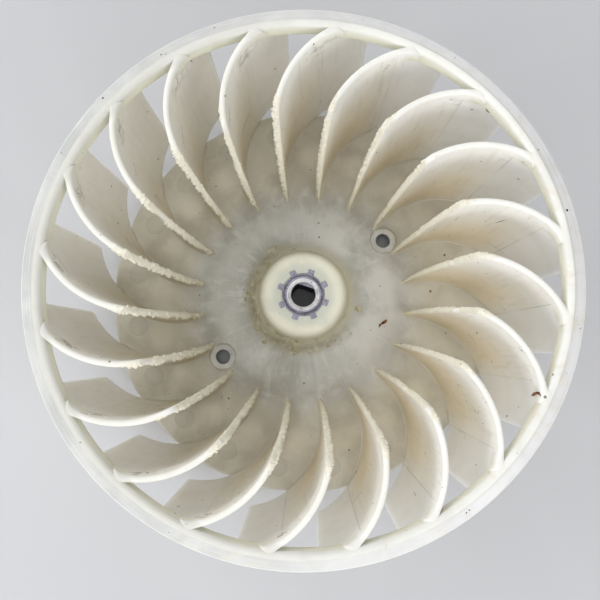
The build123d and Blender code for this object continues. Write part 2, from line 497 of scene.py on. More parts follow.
def buildBlades(points, faces):
    grid = bladeGrid()
    columns, rows = len(grid[0]), len(grid)
    for k in range(wheelSizes["bladeCount"]):
        first = len(points)
        for row in grid:
            points.extend(placeOnBlade(k, r, z, half, swing) for r, z, half, swing, _ in row)
        for row in grid:
            points.extend(placeOnBlade(k, r, z, -half, -swing) for r, z, half, _, swing in row)
        back = first + rows * columns
        for j in range(rows - 1):
            for i in range(columns - 1):
                a = first + j * columns + i
                b = back + j * columns + i
                faces.append((a, a + columns, a + columns + 1, a + 1))
                faces.append((b, b + 1, b + columns + 1, b + columns))
        for i in range(columns - 1):
            faces.append((first + i, first + i + 1, back + i + 1, back + i))
        for j in range(rows - 1):
            a = first + j * columns
            b = back + j * columns
            faces.append((a, b, b + columns, a + columns))


def buildRing(points, faces):
    corners = [
        (0.1108, 0.0990, 0), (0.1110, 0.1040, 0.0018), (0.1138, 0.1040, 0.0007), (0.1148, 0.1030, 0.0009),
        (0.1199, 0.1008, 0.0012), (0.1199, 0.0958, 0.0005), (0.1184, 0.0958, 0.0005),
        (0.1184, 0.0986, 0.0004), (0.1138, 0.1008, 0.0006), (0.1135, 0.0960, 0.0005),
        (0.1108, 0.0960, 0.0005), (0.1108, 0.0990, 0),
    ]
    path = fillGaps(roundCorners(corners, 4), 0.0030)[:-1]
    first = len(points)
    columns = wheelSizes["ringColumns"]
    for r, z in path:
        for i in range(columns):
            a = 2 * math.pi * i / columns
            points.append((r * math.cos(a), r * math.sin(a), z))
    rows = len(path)
    for j in range(rows):
        a = first + j * columns
        b = first + ((j + 1) % rows) * columns
        for i in range(columns):
            n = (i + 1) % columns
            faces.append((a + i, a + n, b + n, b + i))


wheelPoints, wheelFaces, zoneStarts = [], [], []
for build in (buildPlate, buildRibs, buildBlades, buildRing):
    zoneStarts.append(len(wheelFaces))
    build(wheelPoints, wheelFaces)
wheelSkin = makePiece("wheelSkin", wheelPoints, wheelFaces)
for face in wheelSkin.data.polygons:
    if face.index >= zoneStarts[3]:
        face.material_index = 2
    elif face.index >= zoneStarts[2]:
        face.material_index = 1
cleanMesh(wheelSkin)
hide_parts("wheel")
print("stage: wheel skin", len(wheelSkin.data.polygons), "faces")


# Crumbly lint crust on the leading edges: small knobs, thickest on the crowned side
crustSizes = {
    "step": 0.0004,
    "reachCrowned": 0.0028,
    "reachHollow": 0.0011,
    "sections": 14,
    "knobGap": (0.0009, 0.0018),
    "knobRise": (0.00080, 0.00165),
    "knobReach": (0.0005, 0.0009),
    "secondShare": 0.75,
    "startHeight": 0.0112,
    "fullHeight": 0.015,
    "fadeRadius": 0.0765,
    "endRadius": 0.087,
    "sink": 0.00022,
    "highest": 0.10397,
    "knobWindow": 0.0014,
    "patchScale": 85,
    "patchEdges": (-0.55, -0.10),
    "film": 0.00010,
    "filmScale": 1700,
    "shareMiddle": 0.68,
    "shareSwing": 0.32,
    "fullestSide": 150,
    "seed": 9,
}


def edgeLength():
    # arc length of the edge's section, with the lengths of its flat crowned and rounded parts
    s, c = wheelSizes, crustSizes
    arc = math.pi * (s["bladeRound"] + s["bladeThickness"] / 2) / 2
    flat = c["reachCrowned"] - s["bladeRound"]
    return flat + arc + c["reachHollow"] - s["bladeRound"], flat, arc


def edgeSection(walk):
    # from the crowned face round the nose to the hollow face: depth behind the edge, side, outward
    nose, half = wheelSizes["bladeRound"], wheelSizes["bladeThickness"] / 2
    _, flat, arc = edgeLength()
    if walk < flat:
        return crustSizes["reachCrowned"] - walk, half, 0.0, 1.0
    if walk < flat + arc:
        turn = math.pi * (walk - flat) / arc
        return nose - nose * math.sin(turn), half * math.cos(turn), -math.sin(turn), math.cos(turn)
    return walk - flat - arc + nose, -half, 0.0, -1.0


def drawKnobs(spin, length, across):
    # (place along, place across, rise, reach) of the knobs along one leading edge
    c = crustSizes
    knobs = []
    along = 0.0
    while along < length:
        along += spin.uniform(*c["knobGap"])
        knobs.append((along, across * spin.uniform(0.20, 0.52), spin.uniform(*c["knobRise"]),
                      spin.uniform(*c["knobReach"])))
        if spin.random() < c["secondShare"]:
            knobs.append((along + spin.uniform(-0.001, 0.001), across * spin.uniform(0.05, 0.90),
                          spin.uniform(*c["knobRise"]) * 0.65, spin.uniform(*c["knobReach"]) * 0.9))
    return knobs


def buildCrust():
    c = crustSizes
    path = fillGaps(inletPath[1:], c["step"])
    path = [p for p in path if p[1] > c["startHeight"] and p[0] < c["endRadius"]]
    across = edgeLength()[0]
    points, faces = [], []
    for k in range(wheelSizes["bladeCount"]):
        spin = random.Random(c["seed"] * 100 + k)
        knobs = drawKnobs(spin, len(path) * c["step"], across)
        first = len(points)
        # the blades on the lower right of the photograph carry less
        bearing = 360 * k / wheelSizes["bladeCount"]
        share = c["shareMiddle"] + c["shareSwing"] * math.cos(math.radians(bearing - c["fullestSide"]))
        n = c["sections"]
        for i, (radius, height) in enumerate(path):
            before, after = path[max(0, i - 1)], path[min(len(path) - 1, i + 1)]
            run = math.dist(before, after)
            inward = ((after[1] - before[1]) / run, -(after[0] - before[0]) / run)
            onEdge = ease(height, c["startHeight"], c["fullHeight"])
            onEdge *= ease(radius, c["endRadius"], c["fadeRadius"])
            walkAlong = i * c["step"]
            near = [knob for knob in knobs if abs(knob[0] - walkAlong) < c["knobWindow"]]
            for j in range(n):
                walk = across * j / (n - 1)
                depth, side, outDepth, outSide = edgeSection(walk)
                place = Vector(placeOnBlade(k, radius + inward[0] * depth, height + inward[1] * depth, side))
                rise = 0.0
                for along, over, tall, wide in near:
                    off = ((walkAlong - along) ** 2 + (walk - over) ** 2) / wide ** 2
                    if off < 1:
                        rise = max(rise, tall * (1 - off) ** 0.7)
                cloud = noise.noise(place * c["patchScale"] + Vector((3.7 * k, 0, 0)))
                patchy = ease(cloud, *c["patchEdges"])
                film = c["film"] + c["film"] * noise.noise(place * c["filmScale"])
                shown = onEdge * ease(j, 0, 1.5) * ease(n - 1 - j, 0, 1.5)
                rise = (rise * share + film) * patchy * shown - c["sink"] * (1 - shown)
                rise -= c["sink"] * 0.5 * (1 - patchy)
                d = depth + outDepth * rise
                stand = side + outSide * rise / footTaper(radius, height)
                x, y, z = placeOnBlade(k, radius + inward[0] * d, height + inward[1] * d, stand)
                points.append((x, y, min(z, c["highest"])))
        for i in range(len(path) - 1):
            for j in range(n):
                m = (j + 1) % n
                a, b = first + i * n, first + (i + 1) * n
                faces.append((a + j, b + j, b + m, a + m))
        faces.append(tuple(first + j for j in range(n)))
        faces.append(tuple(first + (len(path) - 1) * n + j for j in reversed(range(n))))
    return makePiece("edgeLint", points, faces)


edgeLint = buildCrust()
cleanMesh(edgeLint, 75)
print("stage: lint crust", len(edgeLint.data.polygons), "faces")


# Small dirt: flakes in the groove round the boss, brown chips, specks and loose fibres
dirtSizes = {
    "flakeCount": 85,
    "flakeInner": 0.0238,
    "flakeOuter": 0.0325,
    "flakeSmallest": 0.0005,
    "flakeSpread": 0.0023,
    "flakeSide": 215,
    "flakeLean": 0.12,
    "flakeThickest": 0.00026,
    "flakeLayers": ((1.0, -0.4), (0.86, 0.25), (0.5, 0.85)),
    "chipLayers": ((1.0, -0.3), (0.95, 0.35), (0.6, 1.0)),
    "speckCount": 230,
    "speckSmallest": 0.00012,
    "speckSpread": 0.00032,
    "speckLift": 0.00003,
    "bladeSpecks": 0.55,  # shares of the specks on the blades and on the plate; the ring has the rest
    "plateSpecks": 0.30,
    "fibreClumps": 9,
    "firstClump": 6,
    "strandsPerClump": 5,
    "longFibres": 14,
    "strandRadius": 0.00006,
    "clumpRadii": (0.1050, 0.1090),
    "clumpHeights": (0.0955, 0.1005),
    "longRadii": (0.085, 0.105),
    "longHeights": (0.03, 0.09),
    "tuftRadius": 0.00028,
    "sliverRadius": 0.00085,
    "crumbRadius": 0.00066,
    "seed": 21,
}


def plateHeight(radius):
    # the visible top of the hub and plate
    return onHeight(upperPath, radius) if radius > wheelSizes["bossRadius"] else wheelSizes["bossHeight"]


def addChip(points, faces, centre, up, size, thick, sides, spin, layers=dirtSizes["chipLayers"]):
    # a ragged flat chip with a domed top, lying across the direction up; layers are (reach, rise) shares
    up = Vector(up).normalized()
    across = up.orthogonal().normalized()
    across.rotate(Matrix.Rotation(spin.uniform(0, 6.28), 3, up))
    beside = up.cross(across)
    stretch = spin.uniform(0.55, 1.0)
    first = len(points)
    rims = []
    for k in range(sides):
        bearing = 2 * math.pi * (k + spin.uniform(-0.25, 0.25)) / sides
        reach = size * spin.uniform(0.65, 1.0)
        rims.append((reach * math.cos(bearing), reach * math.sin(bearing) * stretch))
    for scale, rise in layers:
        for x, y in rims:
            points.append(Vector(centre) + (across * x + beside * y) * scale + up * thick * rise)
    points.append(Vector(centre) + up * thick)
    for layer in range(2):
        for k in range(sides):
            n = (k + 1) % sides
            a = first + layer * sides
            faces.append((a + k, a + n, a + sides + n, a + sides + k))
    for k in range(sides):
        faces.append((first + 2 * sides + k, first + 2 * sides + (k + 1) % sides, first + 3 * sides))
    faces.append(tuple(first + k for k in reversed(range(sides))))


def addStrand(points, faces, path, radius):
    # a fine three-sided fibre along a path of points
    first = len(points)
    for i, here in enumerate(path):
        ahead = path[min(i + 1, len(path) - 1)] - path[max(i - 1, 0)]
        across = ahead.orthogonal().normalized()
        beside = ahead.cross(across).normalized()
        thin = radius * (0.35 if i in (0, len(path) - 1) else 1.0)
        for k in range(3):
            turn = 2 * math.pi * k / 3
            points.append(here + across * math.cos(turn) * thin + beside * math.sin(turn) * thin)
    for i in range(len(path) - 1):
        a, b = first + 3 * i, first + 3 * (i + 1)
        for k in range(3):
            m = (k + 1) % 3
            faces.append((a + k, a + m, b + m, b + k))
    faces.append((first, first + 2, first + 1))
    last = first + 3 * (len(path) - 1)
    faces.append((last, last + 1, last + 2))


def buildGrime():
    d = dirtSizes
    spin = random.Random(d["seed"])
    points, faces = [], []
    made = 0
    while made < d["flakeCount"]:
        bearing = spin.uniform(0, 360)
        side = 0.5 + 0.5 * math.cos(math.radians(bearing - d["flakeSide"]))
        if spin.random() > side ** 1.4:
            continue
        reach = d["flakeInner"] + (d["flakeOuter"] - d["flakeInner"]) * spin.random() ** 1.7
        a = math.radians(bearing)
        size = d["flakeSmallest"] + d["flakeSpread"] * spin.random() ** 1.4
        slope = (plateHeight(reach + 0.0004) - plateHeight(reach - 0.0004)) / 0.0008
        up = Vector((-slope * math.cos(a), -slope * math.sin(a), 1)).normalized()
        lean = d["flakeLean"]
        up += Vector((spin.uniform(-lean, lean), spin.uniform(-lean, lean), 0))
        centre = (reach * math.cos(a), reach * math.sin(a), plateHeight(reach) + 0.00002)
        thick = min(d["flakeThickest"], size * spin.uniform(0.10, 0.25))
        addChip(points, faces, centre, up, size, thick, spin.randint(8, 12), spin, d["flakeLayers"])
        made += 1
    return makePiece("hubGrime", points, faces)


def buildBrownChips():
    # a curled sliver on the bell and a crumb where a blade meets the ring, as the photograph shows
    points, faces = [], []
    sliver = ((0.0410, -0.0163, 0.0170), (0.0417, -0.0148, 0.0169), (0.0432, -0.0138, 0.0165),
              (0.0447, -0.0130, 0.0159), (0.0457, -0.0121, 0.0154))
    addStrand(points, faces, [Vector(p) for p in sliver], dirtSizes["sliverRadius"])
    crumb = ((0.0991, -0.0481, 0.0902), (0.0989, -0.0474, 0.0938), (0.0981, -0.0466, 0.0974),
             (0.0979, -0.0463, 0.1004), (0.0982, -0.0465, 0.1026), (0.0986, -0.0474, 0.1033))
    addStrand(points, faces, [Vector(p) for p in crumb], dirtSizes["crumbRadius"])
    return makePiece("brownChips", points, faces)


# the largest specks and tufts of the photograph: place, way it faces, reach
photoSpecks = (
    ((0.1119, 0.0306, 0.1024), (0.38, 0.10, 0.92), 0.00080),
    ((0.0785, 0.0332, 0.0243), (0.0, -1.0, 0.1), 0.00070),
    ((-0.0798, 0.0761, 0.0212), (0.99, -0.16, 0.0), 0.00060),
    ((-0.0967, 0.0376, 0.0371), (0.92, 0.39, 0.0), 0.00055),
    ((-0.0862, 0.0801, 0.1018), (-0.27, 0.28, 0.92), 0.00065),
    ((-0.0999, 0.0529, 0.0887), (1.0, 0.02, 0.0), 0.00050),
    ((0.0842, -0.0203, 0.0573), (-0.65, -0.76, 0.0), 0.00055),
    ((0.0993, -0.0606, 0.0523), (-0.99, 0.15, 0.0), 0.00060),
    ((0.0788, -0.0807, 0.0729), (-0.96, 0.29, 0.0), 0.00055),
    ((0.0522, -0.0254, 0.0229), (-0.88, 0.43, 0.2), 0.00060),
    ((0.0550, -0.0275, 0.0396), (-0.88, 0.44, 0.2), 0.00045),
)
photoTufts = (
    ((-0.0792, 0.0776, 0.1020), (-0.0797, 0.0760, 0.1003), (-0.0798, 0.0746, 0.0986)),
    ((0.0897, 0.0312, 0.0693), (0.0912, 0.0307, 0.0770), (0.0922, 0.0304, 0.0834)),
    ((-0.0500, 0.1009, 0.0898), (-0.0494, 0.1002, 0.0930), (-0.0502, 0.1000, 0.0948)),
    ((0.0799, 0.0766, 0.0973), (0.0806, 0.0758, 0.0967), (0.0816, 0.0748, 0.0969)),
)


def buildSpecks():
    d = dirtSizes
    spin = random.Random(d["seed"] + 2)
    points, faces = [], []
    half, lift = wheelSizes["bladeThickness"] / 2, d["speckLift"]
    for n in range(d["speckCount"]):
        size = d["speckSmallest"] + d["speckSpread"] * spin.random() ** 2.5
        kind = spin.random()
        if kind < d["bladeSpecks"]:
            k = spin.randrange(wheelSizes["bladeCount"])
            radius = spin.uniform(0.070, 0.1105)
            height = spin.uniform(0.03, 0.101)
            radius = max(radius, leadRadius(height) + 0.002)
            side = spin.choice((-1, -1, 1))
            place = Vector(placeOnBlade(k, radius, height, side * (half + lift)))
            up = place - Vector(placeOnBlade(k, radius, height, 0))
        elif kind < d["bladeSpecks"] + d["plateSpecks"]:
            a, radius = spin.uniform(0, 6.283), spin.uniform(0.030, 0.100)
            place = Vector((radius * math.cos(a), radius * math.sin(a), plateHeight(radius) + lift))
            up = Vector((0, 0, 1))
        else:
            a, radius = spin.uniform(0, 6.283), spin.uniform(0.1125, 0.1185)
            top = wheelSizes["height"] if radius < 0.1135 else 0.1030 - 0.0022 * (radius - 0.1148) / 0.0052
            place = Vector((radius * math.cos(a), radius * math.sin(a), top + lift))
            up = Vector((0, 0, 1))
        addChip(points, faces, place, up, size, size * 0.5, 5, spin)
    for place, up, size in photoSpecks:
        addChip(points, faces, place, up, size, size * 0.4, 6, spin)
    return makePiece("darkSpecks", points, faces)


def buildFibres():
    d = dirtSizes
    spin = random.Random(d["seed"] + 3)
    points, faces = [], []
    half = wheelSizes["bladeThickness"] / 2
    # tufts caught where blades meet the ring, mostly on the upper left of the wheel
    for clump in range(d["fibreClumps"]):
        k = (d["firstClump"] + clump) % wheelSizes["bladeCount"]
        for strand in range(d["strandsPerClump"]):
            radius, height = spin.uniform(*d["clumpRadii"]), spin.uniform(*d["clumpHeights"])
            heading, turn = spin.uniform(0, 6.28), spin.uniform(-0.5, 0.5)
            path = []
            for step in range(8):
                path.append(Vector(placeOnBlade(k, radius, height, -half - 0.00012 - 0.0001 * spin.random())))
                heading += turn + spin.uniform(-0.35, 0.35)
                radius = max(0.098, min(0.1104, radius + 0.00045 * math.cos(heading)))
                height = max(0.088, min(0.1022, height + 0.00055 * math.sin(heading)))
            addStrand(points, faces, path, d["strandRadius"] * spin.uniform(0.8, 1.4))
    # single long hairs lying on blades
    for n in range(d["longFibres"]):
        k = spin.randrange(wheelSizes["bladeCount"])
        radius, height = spin.uniform(*d["longRadii"]), spin.uniform(*d["longHeights"])
        heading, turn = spin.uniform(0, 6.28), spin.uniform(-0.18, 0.18)
        path = []
        for step in range(16):
            path.append(Vector(placeOnBlade(k, radius, height, -half - 0.00008)))
            heading += turn
            radius = max(leadRadius(height) + 0.002, min(0.1095, radius + 0.0007 * math.cos(heading)))
            height = max(0.020, min(0.1005, height + 0.0007 * math.sin(heading)))
        addStrand(points, faces, path, d["strandRadius"] * 0.7)
    for tuft in photoTufts:
        addStrand(points, faces, [Vector(p) for p in tuft], d["tuftRadius"])
    return makePiece("looseFibres", points, faces)


hubGrime = buildGrime()
brownChips = buildBrownChips()
darkSpecks = buildSpecks()
looseFibres = buildFibres()
for piece in (hubGrime, brownChips, darkSpecks, looseFibres):
    cleanMesh(piece, 35)
print("stage: dirt, chips and fibres")


def tone(red, green, blue):
    # display values from 0 to 255, turned into the linear colour that a shader takes
    channels = [v / 255 for v in (red, green, blue)]
    return tuple(c / 12.92 if c <= 0.04045 else ((c + 0.055) / 1.055) ** 2.4 for c in channels) + (1.0,)


def feed(tree, socket, value):
    if isinstance(value, bpy.types.NodeSocket):
        tree.links.new(value, socket)
    else:
        socket.default_value = value


def addMath(tree, operation, *values):
    node = tree.nodes.new("ShaderNodeMath")
    node.operation = operation
    for socket, value in zip(node.inputs, values):
        feed(tree, socket, value)
    return node.outputs[0]


def addProduct(tree, *values):
    result = values[0]
    for value in values[1:]:
        result = addMath(tree, "MULTIPLY", result, value)
    return result


def addRange(tree, value, low, high, toLow=0.0, toHigh=1.0):
    # smooth step of a value, mapped onto a new range
    node = tree.nodes.new("ShaderNodeMapRange")
    node.interpolation_type = "SMOOTHSTEP"
    for name, entry in (("Value", value), ("From Min", low), ("From Max", high), ("To Min", toLow),
                        ("To Max", toHigh)):
        feed(tree, node.inputs[name], entry)
    return node.outputs[0]


def addBand(tree, value, low, high, soft):
    # 1 between low and high, fading over soft at both ends
    rising = addRange(tree, value, low - soft, low + soft)
    falling = addRange(tree, value, high - soft, high + soft, 1.0, 0.0)
    return addProduct(tree, rising, falling)


def addMix(tree, factor, first, second, blend="MIX"):
    node = tree.nodes.new("ShaderNodeMix")
    node.data_type = "RGBA"
    node.blend_type = blend
    feed(tree, node.inputs[0], factor)
    feed(tree, node.inputs[6], first)
    feed(tree, node.inputs[7], second)
    return node.outputs[2]


def addTint(tree, colour, target, *shares):
    # moves a colour towards another by the product of the shares
    return addMix(tree, addProduct(tree, *shares), colour, target)


def addPatches(tree, vector, noiseValues, edges):
    # noise cut into soft patches
    return addRange(tree, addNoise(tree, vector, *noiseValues), *edges)


def addNoise(tree, vector, scale, detail=3.0, rough=0.55, distort=0.0):
    node = tree.nodes.new("ShaderNodeTexNoise")
    feed(tree, node.inputs["Vector"], vector)
    node.inputs["Scale"].default_value = scale
    node.inputs["Detail"].default_value = detail
    node.inputs["Roughness"].default_value = rough
    node.inputs["Distortion"].default_value = distort
    return node.outputs["Fac"]


def newGroup(name, inputs, outputs):
    tree = bpy.data.node_groups.new(name, "ShaderNodeTree")
    for label, kind, value in inputs:
        socket = tree.interface.new_socket(name=label, in_out="INPUT", socket_type="NodeSocket" + kind)
        if value is not None:
            socket.default_value = value
    for label, kind in outputs:
        tree.interface.new_socket(name=label, in_out="OUTPUT", socket_type="NodeSocket" + kind)
    return tree, tree.nodes.new("NodeGroupInput").outputs, tree.nodes.new("NodeGroupOutput").inputs


def placeGroup(tree, group, **values):
    # keyword names are the sockets' names without spaces
    node = tree.nodes.new("ShaderNodeGroup")
    node.node_tree = group
    for socket in node.inputs:
        key = socket.name.replace(" ", "")
        if key in values:
            feed(tree, socket, values[key])
    return node.outputs


def makeWheelPlace():
    # where a surface point lies on the wheel: distance from the axis, height, bearing in degrees
    tree, _, out = newGroup("wheelPlace", [], [
        ("Point", "Vector"), ("Radius", "Float"), ("Height", "Float"), ("Bearing", "Float"),
        ("Around", "Vector"),
    ])
    point = tree.nodes.new("ShaderNodeTexCoord").outputs["Object"]
    split = tree.nodes.new("ShaderNodeSeparateXYZ")
    tree.links.new(point, split.inputs[0])
    x, y, z = split.outputs
    radius = addMath(tree, "SQRT", addMath(tree, "ADD", addProduct(tree, x, x), addProduct(tree, y, y)))
    bearing = addMath(tree, "DEGREES", addMath(tree, "ARCTAN2", y, x))
    around = tree.nodes.new("ShaderNodeCombineXYZ")
    tree.links.new(addMath(tree, "DIVIDE", x, radius), around.inputs[0])
    tree.links.new(addMath(tree, "DIVIDE", y, radius), around.inputs[1])
    for name, value in (("Point", point), ("Radius", radius), ("Height", z), ("Bearing", bearing),
                        ("Around", around.outputs[0])):
        tree.links.new(value, out[name])
    return tree


def makeSpotRing():
    # distance in metres to the nearest of many like spots set out evenly round the axis
    tree, given, out = newGroup("spotRing", [
        ("Radius", "Float", 0.1), ("Bearing", "Float", 0.0), ("Spot Radius", "Float", 0.09),
        ("Phase", "Float", 0.0), ("Pitch", "Float", 18.0),
    ], [("Distance", "Float"), ("Side", "Float")])
    half = addProduct(tree, given["Pitch"], 0.5)
    shifted = addMath(tree, "ADD", addMath(tree, "SUBTRACT", given["Bearing"], given["Phase"]), half)
    wrapped = addMath(tree, "FLOORED_MODULO", addMath(tree, "ADD", shifted, 720.0), given["Pitch"])
    side = addProduct(tree, addMath(tree, "RADIANS", addMath(tree, "SUBTRACT", wrapped, half)),
                      given["Spot Radius"])
    depth = addMath(tree, "SUBTRACT", given["Radius"], given["Spot Radius"])
    squares = addMath(tree, "ADD", addProduct(tree, side, side), addProduct(tree, depth, depth))
    tree.links.new(addMath(tree, "SQRT", squares), out["Distance"])
    tree.links.new(side, out["Side"])
    return tree


def makeFarSide():
    # 1 on the side of the wheel that the bearing Centre names, 0 opposite
    tree, given, out = newGroup("farSide", [
        ("Bearing", "Float", 0.0), ("Centre", "Float", 180.0),
    ], [("Side", "Float")])
    swing = addMath(tree, "COSINE", addMath(tree, "RADIANS", addMath(tree, "SUBTRACT", given["Bearing"],
                                                                     given["Centre"])))
    tree.links.new(addRange(tree, swing, -0.8, 0.8), out["Side"])
    return tree


def makeFinePitting():
    # orange-peel height and roughness of a moulded or cast face
    tree, given, out = newGroup("finePitting", [
        ("Point", "Vector", None), ("Scale", "Float", 700.0), ("Roughness", "Float", 0.45),
        ("Spread", "Float", 0.12),
    ], [("Height", "Float"), ("Roughness", "Float")])
    scaled = tree.nodes.new("ShaderNodeVectorMath")
    scaled.operation = "SCALE"
    tree.links.new(given["Point"], scaled.inputs[0])
    tree.links.new(given["Scale"], scaled.inputs["Scale"])
    fine = addNoise(tree, scaled.outputs[0], 1.0, 2.0)
    broad = addNoise(tree, scaled.outputs[0], 0.08, 4.0)
    tree.links.new(addMath(tree, "ADD", fine, addProduct(tree, broad, 1.5)), out["Height"])
    swing = addProduct(tree, addMath(tree, "SUBTRACT", broad, 0.5), given["Spread"], 3.0)
    tree.links.new(addMath(tree, "ADD", given["Roughness"], swing), out["Roughness"])
    return tree


def makeSpeckle():
    # scattered small dots: size in cells, share of cells that hold one
    tree, given, out = newGroup("speckle", [
        ("Point", "Vector", None), ("Scale", "Float", 300.0), ("Size", "Float", 0.2), ("Share", "Float", 0.2),
    ], [("Mask", "Float")])
    cells = tree.nodes.new("ShaderNodeTexVoronoi")
    tree.links.new(given["Point"], cells.inputs["Vector"])
    tree.links.new(given["Scale"], cells.inputs["Scale"])
    draw = tree.nodes.new("ShaderNodeSeparateColor")
    tree.links.new(cells.outputs["Color"], draw.inputs[0])
    chosen = addMath(tree, "LESS_THAN", draw.outputs[0], given["Share"])
    size = addProduct(tree, given["Size"], addMath(tree, "ADD", draw.outputs[1], 0.3))
    dot = addRange(tree, cells.outputs["Distance"], addProduct(tree, size, 0.6), size, 1.0, 0.0)
    tree.links.new(addProduct(tree, chosen, dot), out["Mask"])
    return tree


def makeDustFilm():
    # uneven film of fine dust: cloudy, denser where the mask says so
    tree, given, out = newGroup("dustFilm", [
        ("Point", "Vector", None), ("Scale", "Float", 60.0), ("Where", "Float", 1.0),
        ("Amount", "Float", 0.5),
    ], [("Mask", "Float")])
    scaled = tree.nodes.new("ShaderNodeVectorMath")
    scaled.operation = "SCALE"
    tree.links.new(given["Point"], scaled.inputs[0])
    tree.links.new(given["Scale"], scaled.inputs["Scale"])
    cloud = addNoise(tree, scaled.outputs[0], 1.0, 6.0, 0.62, 0.4)
    film = addRange(tree, cloud, 0.42, 0.68)
    film = addProduct(tree, film, given["Where"], given["Amount"])
    tree.links.new(film, out["Mask"])
    return tree


ringLook = {
    "bead": tone(236, 236, 231), "beadGrey": tone(215, 215, 208), "flange": tone(230, 230, 232),
    "flangeGrey": tone(190, 192, 190), "wall": tone(229, 229, 209), "stain": tone(226, 216, 196),
    "cloud": ((40.0, 4.0, 0.6, 0.5), (0.35, 0.7, 0.0, 0.45)), "outerRadii": (0.1139, 0.1151),
    "outerHeights": (0.0975, 0.0995), "wallHeights": (0.1034, 0.0985), "wallRadii": (0.1130, 0.1108),
    "blotchNoise": ((95.0, 5.0, 0.68, 0.6), (0.50, 0.66, 0.0, 0.5)),
}


def makeRingTone():
    # body colour of the tie ring: grey-white flange, whiter bead, with painted shade that makes it greyer on
    # one side of the wheel and yellower down its inner wall
    tree, given, out = newGroup("ringTone", [
        ("Point", "Vector", None), ("Radius", "Float", 0.112), ("Height", "Float", 0.104),
        ("Greyer", "Float", 0.0), ("Stained", "Float", 0.0),
    ], [("Color", "Color")])
    point, radius, height = given["Point"], given["Radius"], given["Height"]
    flangeTone = addMix(tree, given["Greyer"], ringLook["flange"], ringLook["flangeGrey"])
    beadTone = addMix(tree, given["Greyer"], ringLook["bead"], ringLook["beadGrey"])
    cloud = addPatches(tree, point, *ringLook["cloud"])
    flangeTone = addMix(tree, cloud, flangeTone, ringLook["bead"])
    outer = addProduct(tree, addRange(tree, radius, *ringLook["outerRadii"]),
                       addRange(tree, height, *ringLook["outerHeights"]))
    colour = addMix(tree, outer, beadTone, flangeTone)
    # painted shade: yellower and a little darker down the inner wall under the bead
    wall = addProduct(tree, addRange(tree, height, *ringLook["wallHeights"]),
                      addRange(tree, radius, *ringLook["wallRadii"]))
    colour = addMix(tree, addProduct(tree, wall, 0.85), colour, ringLook["wall"])
    blotch = addPatches(tree, point, *ringLook["blotchNoise"])
    colour = addMix(tree, addProduct(tree, blotch, given["Stained"]), colour, ringLook["stain"])
    tree.links.new(colour, out["Color"])
    return tree


groups = {
    "ring": makeRingTone(),
    "place": makeWheelPlace(),
    "spots": makeSpotRing(),
    "side": makeFarSide(),
    "pitting": makeFinePitting(),
    "speckle": makeSpeckle(),
    "dust": makeDustFilm(),
}
print("stage: shader groups")


def addSide(tree, bearing, centre):
    return placeGroup(tree, groups["side"], Bearing=bearing, Centre=centre)["Side"]


def addSpeckle(tree, point, scale, size, share):
    return placeGroup(tree, groups["speckle"], Point=point, Scale=scale, Size=size, Share=share)["Mask"]


def addSpots(tree, radius, bearing, spotRadius, phase, pitch=18.0):
    return placeGroup(tree, groups["spots"], Radius=radius, Bearing=bearing, SpotRadius=spotRadius,
                      Phase=phase, Pitch=pitch)


def newMaterial(name):
    material = bpy.data.materials.new(name)
    material.use_nodes = True
    tree = material.node_tree
    return material, tree, tree.nodes["Principled BSDF"]


def addBump(tree, shader, height, strength, distance):
    bump = tree.nodes.new("ShaderNodeBump")
    bump.inputs["Strength"].default_value = strength
    bump.inputs["Distance"].default_value = distance
    tree.links.new(height, bump.inputs["Height"])
    tree.links.new(bump.outputs["Normal"], shader.inputs["Normal"])


def setMilky(shader):
    # the soft sheen that all the plastic shares
    shader.inputs["IOR"].default_value = 1.49
    shader.inputs["Specular IOR Level"].default_value = 0.38


